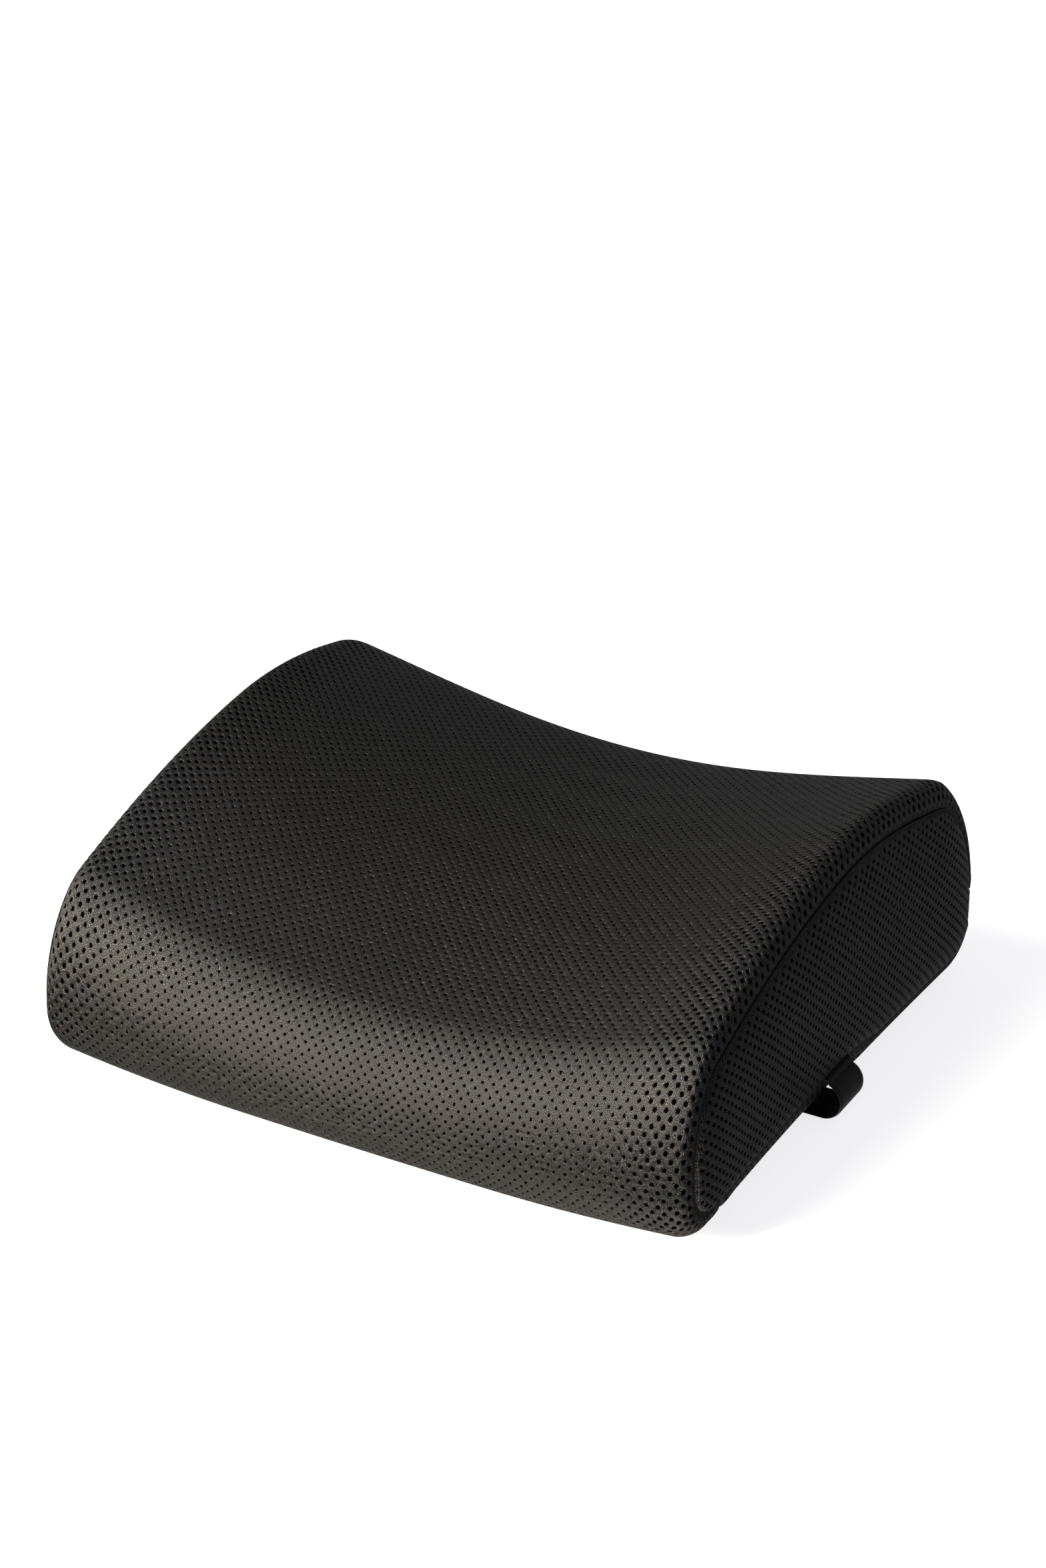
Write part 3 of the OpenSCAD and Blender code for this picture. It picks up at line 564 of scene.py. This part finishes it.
# ---- Seams, zip and strap ------------------------------------------------------
def sew_seams():
    """The threads in the seams: round each end, and across the underside near the thin edge."""
    s = lines(0, S_ROUND, 1.6)[:-1]
    for side, word in ((-1, "left"), (1, "right")):
        rim = end_grid(side, s, np.array([1.0]), depth=1.3)[0]
        thread_line("seam_" + word, settle(rim, 0.5), 0.5, ("end_seam_" + word,), ring=True)
    w = lines(-WRAP_HALF, WRAP_HALF, 3.0)
    foot = wrap_grid(np.array([FOOT_SEAM + SEAM_W / 2]), w, 1.2)[0]
    thread_line("seam_below", settle(foot, 0.6), 0.55, ("base_seam",))


def stitched_rows():
    """Two rows of stitches hold the tapes: 2.6 mm long, 3.4 mm apart, sunk in the knit."""
    x = lines(-152, 152, 3.4)
    for s, word in ((S_ZIP_TOP + 3.6, "upper"), (S_ZIP_LOW - 3.6, "lower")):
        near = wrap_grid(np.array([s - 0.5, s, s + 0.5]), np.concatenate([x, [x[-1] + 1]]))
        out = outward(near)[1, :-1]
        centres = near[1, :-1] + out * 0.05
        beads("zip_stitches_" + word, centres, np.tile([1.0, 0, 0], (len(x), 1)), out,
              (1.3, 0.36, 0.22), material=THREAD, slot="thread")


# The zip, in millimetres: its face, the gap between its two rows of teeth, and their run.
ZIP_FACE = HALF_D - ZIP_DENT
CHAIN_GAP = 1.3
TEETH_LEN, TOOTH_PITCH = 292.0, 2.5


def make_zip():
    """Two woven tapes, a row of coil loops on each, end tabs of the cover's knit, two stops, the
    slider and its pull tab."""
    half = HALF_W - EDGE_R - 0.3
    x = lines(-half, half, 3.0)
    front = ZIP_FACE - 0.9
    back = front - 0.5
    for up, word in ((1, "upper"), (-1, "lower")):
        z = ZIP_Z + up * np.linspace(CHAIN_GAP / 2, ZIP_ROOM / 2 + 1.5, 7)
        z = z if up > 0 else z[::-1]
        outer, inner = (np.stack(np.broadcast_arrays(x[None, :], y, z[:, None]), -1).astype(float)
                        for y in (front, back))
        slab("tape_" + word, outer, inner, material=TAPE, slot="tape",
             stands_for=("zip_tape_" + word,))
        count = int(TEETH_LEN // TOOTH_PITCH)
        at = -count * TOOTH_PITCH / 2 + (np.arange(count) + (0.5 if up > 0 else 1.0)) * TOOTH_PITCH
        centres = np.stack([at, 0 * at + front + 0.78, 0 * at + ZIP_Z + up * 1.95], -1)
        beads("coil_" + word, centres, np.tile([0.18, 0, 1.0], (count, 1)),
              np.tile([0, 1.0, 0], (count, 1)), (1.42, 0.78, 0.72), power=0.7, material=NYLON,
              slot="coil", stands_for=("zip_teeth_" + word,))
    s = lines(S_ZIP_LOW, S_ZIP_TOP, 0.95)
    for side, word in ((-1, "left"), (1, "right")):
        w = np.sort(side * lines(149, WRAP_HALF, 0.95))
        u, v = np.meshgrid(w / HOLE_PITCH_X, s / HOLE_PITCH_S)
        to_side = WRAP_HALF - np.abs(w)[None, :] + 0 * u
        holes = knit_relief(u, v, OPEN_END) * whole_knit(to_side)
        height = tucked(to_side) - 0.6 * holes
        outer = wrap_grid(s, w)
        outer = outer + outward(outer) * height[..., None]
        inner = wrap_grid(s, w, 2.6)
        slab("zip_end_" + word, outer, inner, material=MESH, slot="mesh",
             stands_for=("zip_end_tab_" + word,), cell=(HOLE_PITCH_X, HOLE_PITCH_S))
    softened("zip_stops", 0.35, ENAMEL)
    softened("zip_slider", 0.25, ENAMEL, "slider")
    softened("zip_pull_tab", 0.3, ENAMEL, "pull_tab")


# The strap and the buckle's bars, in millimetres. Heights are those of the webbing's middle.
STRAP_W, STRAP_T = 25.0, 1.4
BUCKLE_T, BAR_R, WEB_GAP = 8.4, 1.2, 0.25
BAR_Z = BUCKLE_T / 2 + 0.3
FOLD_R = BAR_R + WEB_GAP + STRAP_T / 2
FLOOR_Z = STRAP_T / 2
MAIN_Z = BAR_Z - FOLD_R                 # the strap below the bars
OVER_Z = MAIN_Z + STRAP_T + WEB_GAP     # what is folded back over it
LOOP_R, LOOP_OUT = 9.4, 8.5             # a slack loop's radius, and how far it stands out
LOOP_X = HALF_W + LOOP_OUT - LOOP_R - STRAP_T / 2
SOCKET_BAR_X, PLUG_BAR_X = -30.3, 8.9
FOLD_LEN, TAIL_FROM, TAIL_END = 26.0, 35.3, 113.3
STITCH_PITCH = 2.9


def arc(cx, cz, r, start, stop, n):
    """Points of an arc in X and Z, between two angles in degrees."""
    turn = np.radians(np.linspace(start, stop, n + 1))
    return list(zip(cx + r * np.cos(turn), cz + r * np.sin(turn)))


def strap_run(after):
    """The webbing's middle line in X and Z from an end's seam round its slack loop, over the
    floor to the buckle, and on through the points in after."""
    seam = moulded(np.array([169.74]), np.array([HALF_D]), np.array([10.5]))[0]
    run = [(seam[0] - 0.5, seam[2] - 0.7), (seam[0] + 2.5, seam[2] - 1.4)]
    run += arc(LOOP_X, FLOOR_Z + LOOP_R, LOOP_R, 70, -90, 24)
    run += [(148, FLOOR_Z), (136, (FLOOR_Z + MAIN_Z) / 2), (124, MAIN_Z)]
    return np.array(run + after)


def strap(name, side, after, node):
    """Flat webbing: a rounded ribbon STRAP_W wide and STRAP_T thick along its run, whose corners
    are cut twice to make it bend softly."""
    run = strap_run(after)
    for _ in range(2):
        cut = np.stack([run[:-1] * 0.75 + run[1:] * 0.25, run[:-1] * 0.25 + run[1:] * 0.75], 1)
        run = np.concatenate([run[:1], cut.reshape(-1, 2), run[-1:]])
    path = np.stack([side * run[:, 0], 0 * run[:, 0], run[:, 1]], -1)
    along = np.gradient(path, axis=0)
    along /= np.linalg.norm(along, axis=1, keepdims=True)
    across = np.tile([0.0, 1.0, 0.0], (len(path), 1))
    half, thick = STRAP_W / 2, STRAP_T / 2
    selvage = 1.6
    y = np.linspace(selvage - half, half - selvage, 15)
    turn = np.linspace(-math.pi / 2, math.pi / 2, 7)[1:-1]
    edge = np.stack([half - selvage + selvage * np.cos(turn), thick * 0.92 * np.sin(turn)], -1)
    face = np.stack([y, np.full_like(y, -thick)], -1)
    profile = np.concatenate([face, edge, -face, -edge])
    swept(name, path, across, np.cross(along, across), profile, material=WEBBING,
          slot="webbing", stands_for=(node,))


def stitches(name, runs, z, node):
    """Rows of short stitches, 2.2 mm long and 2.9 mm apart, along straight runs on the webbing."""
    centres, ways = [], []
    for x0, y0, x1, y1 in runs:
        length = math.hypot(x1 - x0, y1 - y0)
        count = int(length / STITCH_PITCH)
        share = (np.arange(count) + 0.5) / count
        x, y = x0 + (x1 - x0) * share, y0 + (y1 - y0) * share
        centres.append(np.stack([x, y, z + 0 * share], -1))
        ways.append(np.tile([x1 - x0, y1 - y0, 0.0], (len(share), 1)))
    centres, ways = np.concatenate(centres), np.concatenate(ways)
    beads(name, centres, ways, np.tile([0, 0, 1.0], (len(centres), 1)), (1.15, 0.34, 0.24),
          material=THREAD, slot="thread", stands_for=(node,))


def make_straps():
    """Both halves of the strap, a box of stitches where the left one is folded back and sewn, and
    two rows across the hem of the right one's tail."""
    fold = arc(-SOCKET_BAR_X, BAR_Z, FOLD_R, 270, 90, 20)
    strap("webbing_left", -1, fold + [(33.3, BAR_Z + FOLD_R), (39.3, OVER_Z), (56.3, OVER_Z)],
          "strap_left")
    turn = arc(PLUG_BAR_X, BAR_Z, FOLD_R, 270, 90, 20)
    down = [(26.3, BAR_Z + FOLD_R), (30.3, (BAR_Z + FOLD_R + OVER_Z) / 2)]
    strap("webbing_right", 1, turn + down + [(TAIL_FROM, OVER_Z), (TAIL_END, OVER_Z)],
          "strap_right")
    top, y = OVER_Z + STRAP_T / 2, 9.5
    x0, x1 = SOCKET_BAR_X - FOLD_LEN + 2, SOCKET_BAR_X - 10
    box = [(x0, -y, x1, -y), (x0, y, x1, y), (x0, -y, x0, y), (x1, -y, x1, y)]
    cross = [(x0, -y, x1, y), (x0, y, x1, -y)]
    stitches("box_stitches", box + cross, top, "strap_fold_stitches")
    hem = [(TAIL_END - back, -10.5, TAIL_END - back, 10.5) for back in (2.5, 8)]
    stitches("hem_stitches", hem, top, "tail_hem_stitches")


def make_buckle():
    """The side-release buckle, its two prongs and the strap's keeper, as the CAD has them."""
    for node in ("buckle_socket", "buckle_plug"):
        softened(node, 0.45, ACETAL)
    softened("buckle_prong_near", 0.4, ACETAL, "prong_near")
    softened("buckle_prong_far", 0.4, ACETAL, "prong_far")
    softened("strap_keeper", 0.35, ACETAL, "keeper")


def make_label():
    """A blank folded ribbon label, sewn into the left end's seam, with a slight curl. It is the
    CAD label's size, moved out to where the filled cover has its seam."""
    low, high = (np.array(v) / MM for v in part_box("care_label"))
    rim = end_grid(-1, lines(0, S_ZIP_LOW, 1.0), np.array([1.0]))[0]
    near = rim[np.argmin(np.abs(rim[:, 1] - (low[1] + high[1]) / 2))]
    shift = near[0] + 1.5 - high[0]
    low[0], high[0] = low[0] + shift, high[0] + shift
    along, down = np.meshgrid(np.linspace(low[1], high[1], 15), np.linspace(0, 1, 9))
    x = high[0] + (low[0] - high[0]) * down - 0.5 * np.sin(math.pi * down)
    z = high[2] + (low[2] - high[2]) * down + 0.4 * np.sin(math.pi * down) * np.cos(along / 6)
    outer = np.stack([x, along, z], -1)
    slab("label_blank", outer, outer + np.array([0.25, 0, -0.3]), material=SATIN, slot="label",
         stands_for=("care_label",))


# ---- Materials -----------------------------------------------------------------
def add(tree, kind, settings=None, *values, **inputs):
    """Adds a node of a kind, or takes one that is there, and sets it up. settings are its own
    choices, or its operation alone. values go to its inputs in order, the others by name with _
    for a space, or by in_ and a number. Each is a constant, a socket, or a node whose first
    output is meant."""
    made = tree.nodes.new(kind) if isinstance(kind, str) else kind
    if isinstance(settings, str):
        settings = {"operation": settings}
    for key, value in (settings or {}).items():
        setattr(made, key, value)
    named = {int(key[3:]) if key.startswith("in_") else key.replace("_", " "): value
             for key, value in inputs.items()}
    for place, value in [*enumerate(values), *named.items()]:
        if isinstance(value, bpy.types.Node):
            value = value.outputs[0]
        if isinstance(value, bpy.types.NodeSocket):
            tree.links.new(value, made.inputs[place])
        else:
            made.inputs[place].default_value = value
    return made


def finish_of(name, **constants):
    """A material with a Principled shader whose constant sockets are set, and its tree."""
    made = bpy.data.materials.new(name)
    made.use_nodes = True
    tree = made.node_tree
    shader = tree.nodes["Principled BSDF"]
    for key, value in constants.items():
        shader.inputs[key.replace("_", " ")].default_value = value
    return made, tree, shader


def spacer_mesh_finish():
    """Polyester spacer knit: black filament yarn in a net of staggered holes. The holes are deep;
    the mesh cuts them shallow and the finish paints them nearly black, as painted shade for their
    dark insides, and the shiny filaments between them break a light into fine glints."""
    made, tree, shader = finish_of("knitted spacer mesh", IOR=1.7)
    math_kind, full_turn = "ShaderNodeMath", 2 * math.pi
    cell = add(tree, "ShaderNodeUVMap", {"uv_map": "cloth"})
    opened = add(tree, "ShaderNodeAttribute", {"attribute_name": "opened"}).outputs["Fac"]
    whole = add(tree, "ShaderNodeAttribute", {"attribute_name": "whole"}).outputs["Fac"]
    axes = add(tree, "ShaderNodeSeparateXYZ", Vector=cell)

    # The same holes as in the mesh: cos(2 pi u) cos(2 pi v), with a ragged edge of loose fibres.
    turn_u = add(tree, math_kind, "MULTIPLY", axes.outputs["X"], full_turn)
    turn_v = add(tree, math_kind, "MULTIPLY", axes.outputs["Y"], full_turn)
    field = add(tree, math_kind, "MULTIPLY", add(tree, math_kind, "COSINE", turn_u),
                add(tree, math_kind, "COSINE", turn_v))
    ragged = add(tree, "ShaderNodeTexNoise", Vector=cell, Scale=7.0, Detail=2.0)
    frayed = add(tree, math_kind, "MULTIPLY_ADD", ragged, 0.5, -0.25)
    edge = add(tree, math_kind, "MULTIPLY_ADD", opened, -0.42, 0.74)
    rim = add(tree, math_kind, "SUBTRACT", add(tree, math_kind, "ADD", field, frayed), edge)
    inside = add(tree, math_kind, {"operation": "MULTIPLY", "use_clamp": True}, rim, 3.4)
    hole_and_painted_shade = add(tree, math_kind, "MULTIPLY", inside, whole)

    # Stitches are 0.9 mm wide and 0.7 mm long, in leaning pairs: six to a hole's pitch.
    across = add(tree, math_kind, "MULTIPLY", axes.outputs["X"], 6.0)
    wale = add(tree, math_kind, "PINGPONG", across, 0.5)
    wobble = add(tree, "ShaderNodeTexNoise", Vector=cell, Scale=2.6, Detail=1.0)
    course = add(tree, math_kind, "MULTIPLY", axes.outputs["Y"], 7.0)
    leaning = add(tree, math_kind, "MULTIPLY_ADD", wale, 1.6, course)
    uneven = add(tree, math_kind, "MULTIPLY_ADD", wobble, 3.0, leaning)
    loops = add(tree, math_kind, "SINE", add(tree, math_kind, "MULTIPLY", uneven, full_turn))
    fibre = add(tree, "ShaderNodeTexNoise", Vector=cell, Scale=11.0, Detail=2.0, Roughness=0.7)
    stitch = add(tree, math_kind, "MULTIPLY_ADD", loops, 0.26, fibre)
    height = add(tree, math_kind, "MULTIPLY_ADD", hole_and_painted_shade, -0.9, stitch)
    bump = add(tree, "ShaderNodeBump", Strength=1.0, Distance=0.00022, Height=height)

    yarn = add(tree, "ShaderNodeMix", {"data_type": "RGBA"}, Factor=fibre,
               in_6=shade("#080808"), in_7=shade("#141413"))
    # The holes are painted near-black #020202: painted shade for their dark insides.
    tone = add(tree, "ShaderNodeMix", {"data_type": "RGBA"}, Factor=hole_and_painted_shade,
               in_6=yarn.outputs[2], in_7=shade("#020202"))
    # Only the crests of the filaments are bare enough to shine.
    crest = add(tree, "ShaderNodeMapRange", Value=stitch, From_Min=0.36, From_Max=0.86,
                To_Min=0.04, To_Max=1.0)
    # Painted shade again: the holes are given no shine.
    solid = add(tree, math_kind, "SUBTRACT", 1.0, hole_and_painted_shade)
    add(tree, shader, Normal=bump, Base_Color=tone.outputs[2],
        Specular_IOR_Level=add(tree, math_kind, "MULTIPLY", crest, solid),
        Roughness=add(tree, math_kind, "MULTIPLY_ADD", hole_and_painted_shade, 0.5, 0.29))
    return made


def thread_finish():
    """Polyester sewing thread: two plies twisted together, dark with a silky edge."""
    made, tree, shader = finish_of("twisted polyester thread", Roughness=0.5,
                                   Specular_IOR_Level=0.3, Sheen_Weight=0.1)
    place = add(tree, "ShaderNodeTexCoord").outputs["Object"]
    bands = {"wave_type": "BANDS", "bands_direction": "DIAGONAL"}
    ply = add(tree, "ShaderNodeTexWave", bands, Vector=place, Scale=520.0, Distortion=0.6)
    tone = add(tree, "ShaderNodeMix", {"data_type": "RGBA"}, Factor=ply.outputs["Fac"],
               in_6=shade("#0b0b0c"), in_7=shade("#1c1c1d"))
    bump = add(tree, "ShaderNodeBump", Strength=0.6, Distance=0.0001, Height=ply.outputs["Fac"])
    add(tree, shader, Base_Color=tone.outputs[2], Normal=bump)
    return made


def webbing_finish():
    """Flat-woven polypropylene webbing: ribs of warp 1.1 mm apart crossed by fine picks, with a
    smooth satin face that turns paler where it bends to the light."""
    made, tree, shader = finish_of("woven webbing", Specular_IOR_Level=0.35, Sheen_Weight=0.08,
                                   Sheen_Roughness=0.35)
    math_kind = "ShaderNodeMath"
    cell = add(tree, "ShaderNodeUVMap", {"uv_map": "cloth"})
    axes = add(tree, "ShaderNodeSeparateXYZ", Vector=cell)
    warp = add(tree, math_kind, "DIVIDE", axes.outputs["X"], 1.1)
    rib = add(tree, math_kind, "PINGPONG", warp, 0.5)
    weft = add(tree, math_kind, "DIVIDE", axes.outputs["Y"], 0.9)
    leaning = add(tree, math_kind, "MULTIPLY_ADD", rib, 1.6, weft)
    pick = add(tree, math_kind, "SINE", add(tree, math_kind, "MULTIPLY", leaning, 2 * math.pi))
    raised = add(tree, math_kind, "MULTIPLY", rib, 1.4)
    weave = add(tree, math_kind, "MULTIPLY_ADD", pick, 0.3, raised)
    fuzz = add(tree, "ShaderNodeTexNoise", Vector=cell, Scale=1.7, Detail=3.0)
    height = add(tree, math_kind, "MULTIPLY_ADD", fuzz, 0.4, weave)
    bump = add(tree, "ShaderNodeBump", Strength=0.5, Distance=0.0002, Height=height)
    tone = add(tree, "ShaderNodeMix", {"data_type": "RGBA"}, Factor=weave,
               in_6=shade("#0e0e0f"), in_7=shade("#232324"))
    add(tree, shader, Normal=bump, Base_Color=tone.outputs[2],
        Roughness=add(tree, math_kind, "MULTIPLY_ADD", fuzz, 0.2, 0.38))
    return made


def moulded_plastic_finish(name, dark, pale, rough, grain_mm, depth, level=0.4):
    """Moulded plastic or enamel: an even colour, a fine spark-eroded grain, and small
    differences of gloss as from handling."""
    made, tree, shader = finish_of(name, Specular_IOR_Level=level)
    place = add(tree, "ShaderNodeTexCoord").outputs["Object"]
    grain = add(tree, "ShaderNodeTexNoise", Vector=place, Scale=1 / (grain_mm * MM), Detail=2.0)
    wear = add(tree, "ShaderNodeTexNoise", Vector=place, Scale=90.0, Detail=3.0)
    bump = add(tree, "ShaderNodeBump", Strength=0.35, Distance=depth * MM, Height=grain)
    tone = add(tree, "ShaderNodeMix", {"data_type": "RGBA"}, Factor=wear,
               in_6=shade(dark), in_7=shade(pale))
    gloss = add(tree, "ShaderNodeMath", "MULTIPLY_ADD", wear, 0.16, rough - 0.08)
    add(tree, shader, Normal=bump, Base_Color=tone.outputs[2], Roughness=gloss)
    return made


def cloth_finish(name, dark, pale, thread_mm, rough=0.8):
    """Thin woven or knitted cloth on object coordinates: fine crossed threads, matt."""
    made, tree, shader = finish_of(name, Specular_IOR_Level=0.25, Sheen_Weight=0.15,
                                   Roughness=rough)
    place = add(tree, "ShaderNodeTexCoord").outputs["Object"]
    scale = 0.16 / (thread_mm * MM)
    warp, weft = (add(tree, "ShaderNodeTexWave", {"bands_direction": way}, Vector=place,
                      Scale=scale).outputs["Fac"] for way in "XZ")
    both = add(tree, "ShaderNodeMath", "ADD", warp, weft)
    half = add(tree, "ShaderNodeMath", "MULTIPLY", both, 0.5)
    tone = add(tree, "ShaderNodeMix", {"data_type": "RGBA"}, Factor=half,
               in_6=shade(dark), in_7=shade(pale))
    bump = add(tree, "ShaderNodeBump", Strength=0.4, Distance=0.00015, Height=both)
    add(tree, shader, Base_Color=tone.outputs[2], Normal=bump)
    return made


def foam_finish():
    """Slow-recovery polyurethane foam: a cream skin with open pores about a millimetre apart, whose
    pits are painted darker as painted shade.
    """
    made, tree, shader = finish_of("moulded foam", Specular_IOR_Level=0.2, Roughness=0.9)
    place = add(tree, "ShaderNodeTexCoord").outputs["Object"]
    pores_and_painted_shade = add(tree, "ShaderNodeTexVoronoi", Vector=place, Scale=900.0)
    # The pores' pits are painted darker, as painted shade in them.
    tone = add(tree, "ShaderNodeMix", {"data_type": "RGBA"}, Factor=pores_and_painted_shade,
               in_6=shade("#b9a678"), in_7=shade("#efe4c4"))
    bump = add(tree, "ShaderNodeBump", Strength=0.5, Distance=0.0004, Height=pores_and_painted_shade)
    add(tree, shader, Base_Color=tone.outputs[2], Normal=bump)
    return made


def floor_finish():
    """White paper, lit from behind so that shadows on it stay faint. The camera alone sees the
    paper, and only from above, so the cushion's underside gets light and can be looked at."""
    made, tree, shader = finish_of("white paper", Roughness=0.95, Specular_IOR_Level=0.1,
                                   Base_Color=shade("#f7f7f7"), Emission_Color=shade("#fdfdff"))
    math_kind = "ShaderNodeMath"
    seen = add(tree, "ShaderNodeLightPath").outputs["Is Camera Ray"]
    add(tree, shader, Emission_Strength=add(tree, math_kind, "MULTIPLY", seen, 0.8))
    below = add(tree, "ShaderNodeNewGeometry").outputs["Backfacing"]
    others = add(tree, math_kind, "SUBTRACT", 1.0, seen)
    unseen = add(tree, math_kind, "MAXIMUM", below, others)
    clear = add(tree, "ShaderNodeBsdfTransparent")
    mixed = add(tree, "ShaderNodeMixShader", None, unseen, shader, clear)
    add(tree, tree.nodes["Material Output"], Surface=mixed)
    return made


def lay_floor():
    bpy.ops.mesh.primitive_plane_add(size=16, location=(0, 0, 0))
    floor = bpy.context.object
    floor.name = "floor"
    floor.data.materials.append(floor_finish())


# ---- Build ---------------------------------------------------------------------
place_camera()
light_the_studio()
lay_floor()

MESH = spacer_mesh_finish()
THREAD = thread_finish()
WEBBING = webbing_finish()
ACETAL = moulded_plastic_finish("moulded acetal", "#0f0f10", "#191919", 0.42, 0.35, 0.04)
ENAMEL = moulded_plastic_finish("black enamelled zinc", "#141416", "#202024", 0.26, 0.8, 0.02, 0.5)
NYLON = moulded_plastic_finish("nylon coil", "#0d0d0e", "#17171a", 0.34, 0.5, 0.02)
TAPE = cloth_finish("woven zip tape", "#0a0a0b", "#1d1d1f", 0.6)
JERSEY = cloth_finish("liner jersey", "#b5b1a6", "#e4e1d8", 0.9)
SATIN = cloth_finish("label satin", "#b9b8b2", "#e2e1dc", 0.35, 0.55)
FOAM_SKIN = foam_finish()

filling = filled_cover()
cover_panel("cover_front", "front_panel", S_ZIP_TOP, S_FRONT_END, GRID, filling, MESH)
cover_panel("cover_back", "back_panel", S_BACK_SEAM, S_ZIP_LOW, BACK_GRID, filling, MESH)
cover_end("cover_end_left", "end_panel_left", -1, MESH)
cover_end("cover_end_right", "end_panel_right", 1, MESH)
inner_block("foam", ("foam_core",), FOAM, 4.0, FOAM_SKIN, "foam")
inner_block("liner", ("liner_sleeve", "liner_end_left", "liner_end_right"), SKIN, 4.0, JERSEY,
            "liner")
sew_seams()
stitched_rows()
make_zip()
make_straps()
make_buckle()
make_label()
